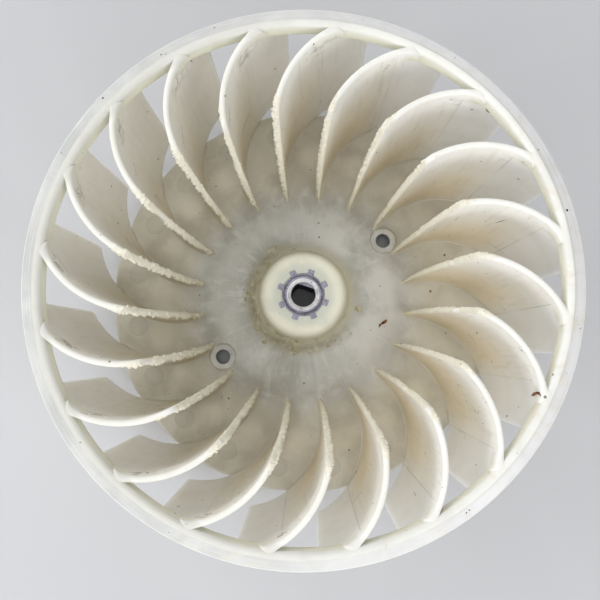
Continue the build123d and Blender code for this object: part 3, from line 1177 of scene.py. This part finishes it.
def makePlatePlastic():
    look = {
        "bell": tone(212, 213, 210), "deep": tone(186, 186, 178), "pale": tone(232, 233, 229),
        "clear": tone(236, 236, 232), "warmBell": tone(212, 204, 186), "warmPale": tone(234, 230, 214),
        "cream": tone(240, 238, 220), "creamInner": tone(216, 219, 205), "olive": tone(170, 162, 132),
        "oliveDark": tone(128, 120, 90), "halo": tone(206, 202, 178), "mark": tone(146, 142, 128),
        "streak": tone(230, 230, 223), "speck": tone(70, 62, 48), "underside": tone(214, 212, 202),
        "cloud": ((34.0, 4.0, 0.6, 0.6), (0.36, 0.66)),
        "fineCloud": ((110.0, 5.0, 0.65, 0.3), (0.48, 0.72, 0.0, 0.6)),
        "onBellRadii": (0.0300, 0.0560, 0.005), "clearSideBearing": 12.0,
        "clearRadii": (0.0280, 0.0520, 0.006), "clearNoise": ((48.0, 3.0), (0.36, 0.62, 0.15, 0.9)),
        "otherSideBearing": 158.0, "otherRadii": (0.0350, 0.0500, 0.005), "outwardRadii": (0.052, 0.072),
        "patchSpots": (0.081, 14.8), "patchNoise": ((60.0,), (0.35, 0.6, 0.35, 1.0)),
        "markSpots": (0.094, 9.3), "ribSpots": (0.04, 11.5, 45.0), "reachRadii": (0.0265, 0.052, 0.006),
        "brokenNoise": ((70.0, 3.0), (0.42, 0.62)), "padSpots": (0.055, 36.0, 180.0), "sideBearing": 208.0,
        "haloRadii": (0.0310, 0.0235), "grooveRadii": (0.0250, 0.0292, 0.0022),
        "stainRadii": (0.0238, 0.0312, 0.0030), "stainNoise": ((150.0, 6.0, 0.65, 0.8), (0.36, 0.62)),
        "bossRadii": (0.0182, 0.0264, 1.0, 0.0), "bossToneRadii": (0.0132, 0.0178),
        "blotNoise": ((90.0, 4.0), (0.44, 0.68, 0.0, 0.55)), "onTopHeights": (0.0250, 0.0300),
        "speckDots": (240.0, 0.16, 0.10), "patchFade": (0.002, 0.0110, 1.0, 0.0),
        "markFade": (0.0046, 0.0054, 0.30, 0.0), "markRim": (0.0050, 0.0054, 0.0003),
        "ribFade": (0.0001, 0.0030, 1.0, 0.0), "padFade": (0.0055, 0.0085, 0.5, 0.0),
    }
    material, tree, shader = newMaterial("plateMilky")
    setMilky(shader)
    where = placeGroup(tree, groups["place"])
    point, radius, height, bearing = (where[n] for n in ("Point", "Radius", "Height", "Bearing"))

    # cloudy body, greyer than the blades because nothing bright stands behind it
    cloud = addPatches(tree, point, *look["cloud"])
    colour = addMix(tree, cloud, look["deep"], look["bell"])
    fineCloud = addPatches(tree, point, *look["fineCloud"])
    colour = addTint(tree, colour, look["pale"], fineCloud)

    # radial streaks on the bell, and painted light on two sides of it
    fan = tree.nodes.new("ShaderNodeCombineXYZ")
    tree.links.new(addProduct(tree, radius, 36.0), fan.inputs[2])
    spread = tree.nodes.new("ShaderNodeVectorMath")
    spread.operation = "MULTIPLY_ADD"
    tree.links.new(where["Around"], spread.inputs[0])
    spread.inputs[1].default_value = (7.5, 7.5, 0.0)
    tree.links.new(fan.outputs[0], spread.inputs[2])
    onBell = addBand(tree, radius, *look["onBellRadii"])
    rays = addNoise(tree, spread.outputs[0], 1.0, 4.0, 0.7)
    paler = addProduct(tree, addRange(tree, rays, 0.52, 0.72, 0.0, 0.75), onBell)
    colour = addTint(tree, colour, look["pale"], paler)
    darker = addProduct(tree, addRange(tree, rays, 0.48, 0.32, 0.0, 0.6), onBell)
    colour = addTint(tree, colour, look["deep"], darker)
    # painted light: a brighter patch on the bell on one side, a weaker one on the other side
    litSide = addSide(tree, bearing, look["clearSideBearing"])
    clear = addProduct(tree, addMath(tree, "POWER", litSide, 3.0),
                       addBand(tree, radius, *look["clearRadii"]))
    clearNoise = addPatches(tree, point, *look["clearNoise"])
    colour = addTint(tree, colour, look["clear"], clear, clearNoise)
    otherLitSide = addSide(tree, bearing, look["otherSideBearing"])
    otherLitPatch = addProduct(tree, addMath(tree, "POWER", otherLitSide, 3.0),
                       addBand(tree, radius, *look["otherRadii"]))
    colour = addTint(tree, colour, look["clear"], otherLitPatch, 0.42)

    outward = addRange(tree, radius, *look["outwardRadii"])
    warmTone = addMix(tree, addProduct(tree, cloud, 0.8), look["warmBell"], look["warmPale"])
    colour = addMix(tree, addProduct(tree, outward, 0.7), colour, warmTone)

    # painted light: a bright patch in each passage between the blades, beside every ejector mark; and the
    # round mark itself
    passageLight = addSpots(tree, radius, bearing, *look["patchSpots"])
    passageLightMask = addRange(tree, passageLight["Distance"], *look["patchFade"])
    patchNoise = addPatches(tree, point, *look["patchNoise"])
    passageLightMask = addProduct(tree, passageLightMask, patchNoise)
    colour = addTint(tree, colour, look["warmPale"], passageLightMask)
    mark = addSpots(tree, radius, bearing, *look["markSpots"])
    disc = addRange(tree, mark["Distance"], *look["markFade"])
    rim = addBand(tree, mark["Distance"], *look["markRim"])
    colour = addTint(tree, colour, look["deep"], disc)
    colour = addTint(tree, colour, look["mark"], rim, 0.28)

    # pale lines where the ribs stand behind the bell
    rib = addSpots(tree, radius, bearing, *look["ribSpots"])
    line = addRange(tree, addMath(tree, "ABSOLUTE", rib["Side"]), *look["ribFade"])
    reach = addBand(tree, radius, *look["reachRadii"])
    broken = addPatches(tree, point, *look["brokenNoise"])
    colour = addTint(tree, colour, look["streak"], line, reach, broken, 0.5)
    pad = addSpots(tree, radius, bearing, *look["padSpots"])
    padMask = addRange(tree, pad["Distance"], *look["padFade"])
    colour = addTint(tree, colour, look["streak"], padMask, 0.5)

    # painted glow round the boss, then olive grime in the groove round it, heaviest on one side
    side = addSide(tree, bearing, look["sideBearing"])
    side = addMath(tree, "MULTIPLY_ADD", side, 0.92, 0.08)
    # painted glow: a yellowish halo fades out from the boss over the plate
    halo = addRange(tree, radius, *look["haloRadii"])
    colour = addTint(tree, colour, look["halo"], halo, 0.85)
    groove = addProduct(tree, addBand(tree, radius, *look["grooveRadii"]), side)
    stain = addProduct(tree, addBand(tree, radius, *look["stainRadii"]), side)
    stainNoise = addPatches(tree, point, *look["stainNoise"])
    colour = addTint(tree, colour, look["olive"], stain, 0.6)
    grime = addProduct(tree, groove, stainNoise, 0.6)
    colour = addTint(tree, colour, look["oliveDark"], grime)

    # the boss: cream ring, greyer round the bush; the cream runs on down its side wall as painted light,
    # lifting the wall's shade
    boss = addRange(tree, radius, *look["bossRadii"])
    bossTone = addMix(tree, addRange(tree, radius, *look["bossToneRadii"]), look["creamInner"],
                      look["cream"])
    blot = addPatches(tree, point, *look["blotNoise"])
    bossTone = addMix(tree, blot, bossTone, look["creamInner"])
    onTop = addRange(tree, height, *look["onTopHeights"])
    colour = addMix(tree, addProduct(tree, boss, onTop), colour, bossTone)

    # the underside is cleaner and more even
    facing = tree.nodes.new("ShaderNodeSeparateXYZ")
    tree.links.new(tree.nodes.new("ShaderNodeNewGeometry").outputs["Normal"], facing.inputs[0])
    below = addRange(tree, facing.outputs["Z"], -0.2, 0.1, 1.0, 0.0)
    belowTone = addMix(tree, addProduct(tree, cloud, 0.6), look["underside"], look["bell"])
    colour = addMix(tree, below, colour, belowTone)

    speck = addSpeckle(tree, point, *look["speckDots"])
    colour = addTint(tree, colour, look["speck"], speck, 0.8)
    tree.links.new(colour, shader.inputs["Base Color"])

    grain = placeGroup(tree, groups["pitting"], Point=point, Scale=900.0, Roughness=0.42, Spread=0.16)
    rough = addMath(tree, "ADD", grain["Roughness"], addProduct(tree, grime, 0.35))
    tree.links.new(rough, shader.inputs["Roughness"])
    relief = addMath(tree, "ADD", addProduct(tree, grain["Height"], 0.10), addProduct(tree, disc, -1.2))
    relief = addMath(tree, "ADD", relief, addProduct(tree, grime, 0.9))
    relief = addMath(tree, "ADD", relief, addProduct(tree, cloud, 0.8))
    addBump(tree, shader, relief, 0.55, 0.00035)
    return material


def makeBladePlastic():
    look = {
        "face": tone(250, 249, 245), "warm": tone(247, 236, 212), "deep": tone(230, 216, 184),
        "root": tone(220, 215, 200), "tip": tone(249, 250, 250), "rim": tone(238, 238, 233),
        "line": tone(150, 142, 124), "shady": tone(236, 234, 227), "streak": tone(208, 200, 180),
        "dust": tone(142, 137, 124), "speck": tone(74, 66, 54),
        "warmthHeights": (0.100, 0.030), "driftNoise": ((26.0, 3.0), (0.3, 0.7, 0.75, 1.15)),
        "outsideRadii": (0.098, 0.1065, 1.0, 0.15), "leftBearing": 180.0, "pitHeights": (0.048, 0.012),
        "pitRadii": (0.100, 0.086), "lowEndRadii": (0.0600, 0.0560), "lowEndHeights": (0.026, 0.013),
        "streakNoise": ((420.0, 4.0, 0.6), (0.50, 0.76, 0.0, 0.32)), "rightBearing": 340.0,
        "pastRadii": (0.1064, 0.1070), "partingRadii": (0.10638, 0.10658, 0.00010),
        "gapsNoise": ((130.0, 3.0, 0.7), (0.40, 0.54, 0.12, 1.0)), "belowHeights": (0.0985, 0.0950),
        "rimHeights": (0.1018, 0.1036), "greyerBearing": 182.0, "stainedBearing": 320.0,
        "joinRadii": (0.1066, 0.1098), "joinHeights": (0.0925, 0.0965), "leftwardBearing": 140.0,
        "cornerHeights": (0.0890, 0.0995, 0.0030), "cornerRadii": (0.1010, 0.1088, 0.0030),
        "crumbRowDots": (700.0, 0.34, 0.34), "crumbNoise": ((120.0, 3.0), (0.48, 0.60, 0.0, 0.7)),
        "crumbLineHeights": (0.0965, 0.1010, 0.0016), "speckDots": (210.0, 0.15, 0.09),
    }
    material, tree, shader = newMaterial("bladeMilky")
    setMilky(shader)
    where = placeGroup(tree, groups["place"])
    point, radius, height, bearing = (where[n] for n in ("Point", "Radius", "Height", "Bearing"))

    # painted shade: warmer and browner towards the foot of each blade, and darker low in the deep part, where
    # the channels between blades lie in shade
    warmShade = addRange(tree, height, *look["warmthHeights"])
    drift = addPatches(tree, point, *look["driftNoise"])
    outside = addRange(tree, radius, *look["outsideRadii"])
    left = addSide(tree, bearing, look["leftBearing"])
    warmShade = addProduct(tree, warmShade, drift, outside, addMath(tree, "MULTIPLY_ADD", left, -0.55, 1.1))
    colour = addMix(tree, warmShade, look["face"], look["warm"])
    deepShade = addProduct(tree, addRange(tree, height, *look["pitHeights"]),
                     addRange(tree, radius, *look["pitRadii"]))
    colour = addTint(tree, colour, look["deep"], deepShade, 0.8)

    # the fillet at the plate takes the plate's own grey
    plateLine = addMath(tree, "MULTIPLY_ADD", radius, -0.095, 0.01482)
    aboveRoot = addMath(tree, "SUBTRACT", height, plateLine)
    root = addRange(tree, aboveRoot, 0.0034, 0.0006)
    lowEnd = addProduct(tree, addRange(tree, radius, *look["lowEndRadii"]),
                        addRange(tree, height, *look["lowEndHeights"]))
    root = addMath(tree, "MAXIMUM", root, addProduct(tree, lowEnd, 0.35))
    colour = addTint(tree, colour, look["root"], root)

    # painted shade: the left of the wheel is a little greyer
    colour = addMix(tree, addProduct(tree, left, 0.8), colour, look["shady"], "MULTIPLY")

    # long faint streaks along the draw of the mould
    stretch = tree.nodes.new("ShaderNodeMapping")
    stretch.inputs["Scale"].default_value = (1.0, 1.0, 0.09)
    tree.links.new(point, stretch.inputs["Vector"])
    streak = addPatches(tree, stretch.outputs[0], *look["streakNoise"])
    colour = addTint(tree, colour, look["streak"], streak)

    # painted light: past the mould's parting line the face is whiter, most on the right of the wheel; the
    # line itself is thin, dark and broken
    right = addSide(tree, bearing, look["rightBearing"])
    shown = addMath(tree, "MULTIPLY_ADD", right, 0.8, 0.2)
    pastLit = addProduct(tree, addRange(tree, radius, *look["pastRadii"]), shown)
    colour = addTint(tree, colour, look["tip"], pastLit, 0.75)
    parting = addBand(tree, radius, *look["partingRadii"])
    gaps = addPatches(tree, stretch.outputs[0], *look["gapsNoise"])
    below = addRange(tree, height, *look["belowHeights"])
    parting = addProduct(tree, parting, gaps, below, shown)
    colour = addTint(tree, colour, look["line"], parting, 0.55)

    # bright rims, partly painted highlight and partly rub: the front edge and the leading edge catch rub and
    # light
    rim = addRange(tree, height, *look["rimHeights"])
    colour = addTint(tree, colour, look["rim"], rim, 0.6)
    # painted shade on one side, carried into the ring's tone where the blades join the ring
    shadedSide = addSide(tree, bearing, look["greyerBearing"])
    stained = addSide(tree, bearing, look["stainedBearing"])
    ringTone = placeGroup(tree, groups["ring"], Point=point, Radius=radius, Height=height, Greyer=shadedSide,
                          Stained=stained)["Color"]
    join = addProduct(tree, addRange(tree, radius, *look["joinRadii"]),
                      addRange(tree, height, *look["joinHeights"]))
    colour = addMix(tree, join, colour, ringTone)

    # grey dust, thickest in the corner under the ring and along the front edge
    leftward = addSide(tree, bearing, look["leftwardBearing"])
    leftward = addMath(tree, "MULTIPLY_ADD", leftward, 0.75, 0.25)
    corner = addProduct(tree, addBand(tree, height, *look["cornerHeights"]),
                        addBand(tree, radius, *look["cornerRadii"]), leftward)
    dust = placeGroup(tree, groups["dust"], Point=point, Scale=210.0, Where=corner, Amount=0.6)["Mask"]
    colour = addTint(tree, colour, look["dust"], dust)
    crumbRow = addSpeckle(tree, point, *look["crumbRowDots"])
    crumbNoise = addPatches(tree, point, *look["crumbNoise"])
    crumbLine = addBand(tree, height, *look["crumbLineHeights"])
    colour = addTint(tree, colour, look["dust"], crumbLine, crumbRow, crumbNoise)
    film = placeGroup(tree, groups["dust"], Point=point, Scale=55.0, Where=1.0, Amount=0.13)["Mask"]
    colour = addTint(tree, colour, look["streak"], film)
    speck = addSpeckle(tree, point, *look["speckDots"])
    colour = addTint(tree, colour, look["speck"], speck, 0.8)
    tree.links.new(colour, shader.inputs["Base Color"])

    grain = placeGroup(tree, groups["pitting"], Point=point, Scale=800.0, Roughness=0.44, Spread=0.14)
    tree.links.new(addMath(tree, "ADD", grain["Roughness"], addProduct(tree, dust, 0.3)),
                   shader.inputs["Roughness"])
    relief = addMath(tree, "ADD", addProduct(tree, grain["Height"], 0.12), addProduct(tree, streak, 0.35))
    relief = addMath(tree, "SUBTRACT", relief, addProduct(tree, parting, 0.8))
    addBump(tree, shader, relief, 0.5, 0.0003)
    return material


def makeRingPlastic():
    look = {
        "groove": tone(188, 186, 176), "scuff": tone(168, 166, 158), "edge": tone(240, 240, 238),
        "wear": tone(240, 240, 238), "speck": tone(74, 70, 60),
        "onTopHeights": (0.0975, 0.0995), "greyerBearing": 182.0, "stainedBearing": 320.0,
        "grooveRadii": (0.1141, 0.1145, 0.0003), "rubsNoise": ((1.0, 4.0, 0.65), (0.52, 0.70)),
        "rubsRadii": (0.1135, 0.1155), "scuffNoise": ((0.6, 5.0, 0.7), (0.54, 0.66)),
        "scuffRadii": (0.1142, 0.1185, 0.001), "edgeRadii": (0.11905, 0.1196),
        "edgeHeights": (0.0985, 0.1000), "speckDots": (260.0, 0.15, 0.12),
    }
    material, tree, shader = newMaterial("ringMilky")
    setMilky(shader)
    where = placeGroup(tree, groups["place"])
    point, radius, height, bearing, around = (
        where[n] for n in ("Point", "Radius", "Height", "Bearing", "Around")
    )

    # painted shade makes one side of the wheel greyer; tea-coloured stains on another
    onTop = addRange(tree, height, *look["onTopHeights"])
    shadedSide = addSide(tree, bearing, look["greyerBearing"])
    stained = addSide(tree, bearing, look["stainedBearing"])
    colour = placeGroup(tree, groups["ring"], Point=point, Radius=radius, Height=height, Greyer=shadedSide,
                        Stained=stained)["Color"]
    groove = addProduct(tree, addBand(tree, radius, *look["grooveRadii"]), onTop)
    colour = addTint(tree, colour, look["groove"], groove, 0.2)

    # rub marks that run round the flange
    circles = tree.nodes.new("ShaderNodeCombineXYZ")
    tree.links.new(addProduct(tree, radius, 2600.0), circles.inputs[2])
    both = tree.nodes.new("ShaderNodeVectorMath")
    both.operation = "MULTIPLY_ADD"
    tree.links.new(around, both.inputs[0])
    both.inputs[1].default_value = (2.6, 2.6, 0.0)
    tree.links.new(circles.outputs[0], both.inputs[2])
    rubs = addPatches(tree, both.outputs[0], *look["rubsNoise"])
    rubs = addProduct(tree, rubs, onTop, addRange(tree, radius, *look["rubsRadii"]))
    colour = addTint(tree, colour, look["wear"], rubs, 0.75)
    scuff = addPatches(tree, both.outputs[0], *look["scuffNoise"])
    scuff = addProduct(tree, scuff, onTop, addBand(tree, radius, *look["scuffRadii"]))
    colour = addTint(tree, colour, look["scuff"], scuff, 0.30)
    # painted highlight: a thin bright line along the flange's rounded outer edge
    edge = addProduct(tree, addRange(tree, radius, *look["edgeRadii"]),
                      addRange(tree, height, *look["edgeHeights"]))
    colour = addTint(tree, colour, look["edge"], edge, 0.8)

    film = placeGroup(tree, groups["dust"], Point=point, Scale=70.0, Where=1.0, Amount=0.18)["Mask"]
    colour = addTint(tree, colour, look["groove"], film)
    speck = addSpeckle(tree, point, *look["speckDots"])
    colour = addTint(tree, colour, look["speck"], speck, 0.8)
    tree.links.new(colour, shader.inputs["Base Color"])

    grain = placeGroup(tree, groups["pitting"], Point=point, Scale=850.0, Roughness=0.40, Spread=0.16)
    tree.links.new(addMath(tree, "ADD", grain["Roughness"], addProduct(tree, rubs, 0.2)),
                   shader.inputs["Roughness"])
    relief = addMath(tree, "ADD", addProduct(tree, grain["Height"], 0.10), addProduct(tree, rubs, 0.5))
    addBump(tree, shader, relief, 0.5, 0.0003)
    return material


def makeCrustLint():
    look = {
        "pale": tone(244, 241, 228), "shade": tone(228, 221, 198), "speck": tone(150, 138, 112),
        "crumbNoise": ((900.0, 5.0, 0.7), (0.42, 0.62, 0.6, 0.0)), "speckDots": (500.0, 0.25, 0.10),
    }
    material, tree, shader = newMaterial("crustLint")
    shader.inputs["Specular IOR Level"].default_value = 0.2
    where = placeGroup(tree, groups["place"])
    point = where["Point"]
    # painted shade: the crust is darker low down in the wheel
    low = addRange(tree, where["Height"], 0.075, 0.020, 0.0, 0.55)
    colour = addMix(tree, low, look["pale"], look["shade"])
    crumb = addPatches(tree, point, *look["crumbNoise"])
    colour = addTint(tree, colour, look["shade"], crumb)
    speck = addSpeckle(tree, point, *look["speckDots"])
    colour = addTint(tree, colour, look["speck"], speck, 0.5)
    tree.links.new(colour, shader.inputs["Base Color"])
    grain = placeGroup(tree, groups["pitting"], Point=point, Scale=2600.0, Roughness=0.85, Spread=0.1)
    tree.links.new(grain["Roughness"], shader.inputs["Roughness"])
    addBump(tree, shader, grain["Height"], 0.8, 0.0004)
    return material


def makeDirt(name, pale, dark, scale, rough):
    # dry dirt in two tones: used for flakes, chips, specks and fibres
    material, tree, shader = newMaterial(name)
    shader.inputs["Specular IOR Level"].default_value = 0.3
    point = placeGroup(tree, groups["place"])["Point"]
    patches = addRange(tree, addNoise(tree, point, scale, 4.0, 0.6), 0.40, 0.60)
    tree.links.new(addMix(tree, patches, dark, pale), shader.inputs["Base Color"])
    grain = placeGroup(tree, groups["pitting"], Point=point, Scale=3000.0, Roughness=rough, Spread=0.15)
    tree.links.new(grain["Roughness"], shader.inputs["Roughness"])
    addBump(tree, shader, grain["Height"], 0.6, 0.0002)
    return material


def makeCastMetal():
    look = {
        "pale": tone(186, 184, 198), "body": tone(156, 154, 170), "dark": tone(104, 102, 118),
        "groove": tone(74, 72, 84), "bright": tone(240, 240, 244), "bore": tone(84, 82, 88),
        "grainsNoise": ((1900.0, 3.0, 0.7), (0.36, 0.64)), "broadNoise": ((420.0, 3.0), (0.35, 0.65)),
        "wornRadii": (0.0064, 0.0083, 0.00020), "wornHeights": (0.0368, 0.0374),
        "wornPatchNoise": ((260.0, 3.0), (0.34, 0.58, 0.45, 1.0)),
        "stepRadii": (0.00925, 0.00985, 0.00015), "stepHeights": (0.0380, 0.0386),
        "stepNoise": ((180.0, 3.0), (0.36, 0.60, 0.45, 1.0)), "rootLineRadii": (0.00985, 0.01035, 0.00015),
        "rootLineHeights": (0.0386, 0.0378), "inBoreRadii": (0.0068, 0.0064),
        "inBoreHeights": (0.0354, 0.0335),
    }
    material, tree, shader = newMaterial("castMetal")
    shader.inputs["Metallic"].default_value = 0.72
    where = placeGroup(tree, groups["place"])
    point, radius, height = where["Point"], where["Radius"], where["Height"]
    grains = addPatches(tree, point, *look["grainsNoise"])
    colour = addMix(tree, grains, look["dark"], look["pale"])
    broad = addPatches(tree, point, *look["broadNoise"])
    colour = addTint(tree, colour, look["body"], broad, 0.55)
    # painted highlight, partly wear: a bright band round the bore's mouth
    wearAndGlint = addProduct(tree, addBand(tree, radius, *look["wornRadii"]),
                      addRange(tree, height, *look["wornHeights"]))
    wearAndGlintPatch = addPatches(tree, point, *look["wornPatchNoise"])
    wearAndGlint = addProduct(tree, wearAndGlint, wearAndGlintPatch)
    colour = addTint(tree, colour, look["bright"], wearAndGlint)
    step = addProduct(tree, addBand(tree, radius, *look["stepRadii"]),
                      addRange(tree, height, *look["stepHeights"]))
    stepNoise = addPatches(tree, point, *look["stepNoise"])
    colour = addTint(tree, colour, look["groove"], step, stepNoise)
    rootLine = addProduct(tree, addBand(tree, radius, *look["rootLineRadii"]),
                          addRange(tree, height, *look["rootLineHeights"]))
    colour = addTint(tree, colour, look["groove"], rootLine, 0.85)
    # painted shade: darker down inside the bore
    boreShadeMask = addProduct(tree, addRange(tree, radius, *look["inBoreRadii"]),
                        addRange(tree, height, *look["inBoreHeights"]))
    colour = addTint(tree, colour, look["bore"], boreShadeMask)
    tree.links.new(colour, shader.inputs["Base Color"])
    grain = placeGroup(tree, groups["pitting"], Point=point, Scale=2200.0, Roughness=0.46, Spread=0.2)
    rough = addMath(tree, "SUBTRACT", grain["Roughness"], addProduct(tree, wearAndGlint, 0.14))
    tree.links.new(rough, shader.inputs["Roughness"])
    addBump(tree, shader, grains, 0.5, 0.00012)
    return material


for maker in (makePlatePlastic, makeBladePlastic, makeRingPlastic):
    wheelSkin.data.materials.append(maker())
edgeLint.data.materials.append(makeCrustLint())
hubGrime.data.materials.append(makeDirt("driedGrime", tone(206, 201, 176), tone(176, 168, 138), 260.0, 0.55))
brownChips.data.materials.append(makeDirt("rustChip", tone(158, 100, 62), tone(88, 40, 30), 900.0, 0.7))
darkSpecks.data.materials.append(makeDirt("blackDust", tone(76, 68, 58), tone(34, 30, 27), 700.0, 0.85))
looseFibres.data.materials.append(makeDirt("greyFibre", tone(132, 126, 114), tone(78, 73, 65), 500.0, 0.9))
castMetal = makeCastMetal()
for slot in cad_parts["bush"].material_slots:
    slot.material = castMetal
print("stage: materials")


# Pale floor, soft light and the photograph's own view
stageSizes = {
    "floorReach": 9.0,
    "floorTone": tone(197, 198, 201),
    "skyStrength": 0.36,
    "backdropStrength": 0.66,
    "farGlow": 0.45,
    "farStart": 0.8,
    "farEnd": 3.0,
    "lampHeight": 0.70,
    "lampSize": 0.7,
    "lampRing": ((0.80, -0.80, 5.4), (0.0, 1.13, 3.2), (-0.80, 0.80, 4.3), (-1.13, 0.0, 3.5),
                 (-0.80, -0.80, 4.2), (0.0, -1.13, 3.5)),
    "topPlace": (0.0, 0.02, 1.35),
    "topPower": 2.5,
    "cameraPlace": (0.00129, -0.0281, 0.3881),
    "cameraTilt": -0.072,
    "cameraSwing": -0.0084,
    "focalPixels": 680.9,
    "framePixels": 600,
    "sensor": 36.0,
}


def addSeen(tree):
    # 1 for the rays that show the background: to the camera, off metal and through glass
    rays = tree.nodes.new("ShaderNodeLightPath").outputs
    seen = addMath(tree, "MAXIMUM", rays["Is Camera Ray"], rays["Is Glossy Ray"])
    return addMath(tree, "MAXIMUM", seen, rays["Is Transmission Ray"])


reach = stageSizes["floorReach"]
floorMesh = bpy.data.meshes.new("floor")
floorCorners = [(-reach, -reach, 0), (reach, -reach, 0), (reach, reach, 0), (-reach, reach, 0)]
floorMesh.from_pydata(floorCorners, [], [(0, 1, 2, 3)])
floor = bpy.data.objects.new("floor", floorMesh)
bpy.context.collection.objects.link(floor)
floorMaterial, floorTree, floorShader = newMaterial("paleFloor")
floorShader.inputs["Base Color"].default_value = stageSizes["floorTone"]
floorShader.inputs["Roughness"].default_value = 0.8
floorPoint = floorTree.nodes.new("ShaderNodeVectorMath")
floorPoint.operation = "LENGTH"
floorTree.links.new(floorTree.nodes.new("ShaderNodeTexCoord").outputs["Object"], floorPoint.inputs[0])
farAway = addRange(floorTree, floorPoint.outputs["Value"], stageSizes["farStart"], stageSizes["farEnd"],
                   0.0, stageSizes["farGlow"])
floorShader.inputs["Emission Color"].default_value = (1, 1, 1, 1)
floorGlow = addMath(floorTree, "MULTIPLY", farAway, addSeen(floorTree))
floorTree.links.new(floorGlow, floorShader.inputs["Emission Strength"])
floorMesh.materials.append(floorMaterial)


def addLamp(name, place, power):
    lamp = bpy.data.lights.new(name, "AREA")
    lamp.shape = "SQUARE"
    lamp.size = stageSizes["lampSize"]
    lamp.energy = power
    lampObject = bpy.data.objects.new(name, lamp)
    lampObject.location = place
    aim = Vector((0, 0, wheelSizes["height"] / 2)) - Vector(place)
    lampObject.rotation_euler = aim.to_track_quat("-Z", "Y").to_euler()
    bpy.context.collection.objects.link(lampObject)


# six soft lamps stand low round the wheel, the lower right one a little stronger, and one hangs above
for n, (x, y, power) in enumerate(stageSizes["lampRing"]):
    addLamp("roundLamp%d" % n, (x, y, stageSizes["lampHeight"]), power)
addLamp("topLamp", stageSizes["topPlace"], stageSizes["topPower"])
sky = bpy.data.worlds.new("sky")
sky.use_nodes = True
skyTree = sky.node_tree
brighter = stageSizes["backdropStrength"] - stageSizes["skyStrength"]
strength = addMath(skyTree, "MULTIPLY_ADD", addSeen(skyTree), brighter, stageSizes["skyStrength"])
skyTree.nodes["Background"].inputs["Color"].default_value = (1, 1, 1, 1)
skyTree.links.new(strength, skyTree.nodes["Background"].inputs["Strength"])
bpy.context.scene.world = sky

tilt = Matrix.Rotation(stageSizes["cameraTilt"], 3, "X") @ Matrix.Rotation(stageSizes["cameraSwing"], 3, "Y")
cameraData = bpy.data.cameras.new("camera")
cameraData.sensor_width = stageSizes["sensor"]
cameraData.lens = stageSizes["focalPixels"] / stageSizes["framePixels"] * stageSizes["sensor"]
cameraData.clip_start = 0.01
camera = bpy.data.objects.new("camera", cameraData)
camera.matrix_world = Matrix.Translation(Vector(stageSizes["cameraPlace"])) @ tilt.transposed().to_4x4()
bpy.context.collection.objects.link(camera)
bpy.context.scene.camera = camera
bpy.context.scene.view_settings.view_transform = "Standard"
print("stage: floor, lamps and camera")
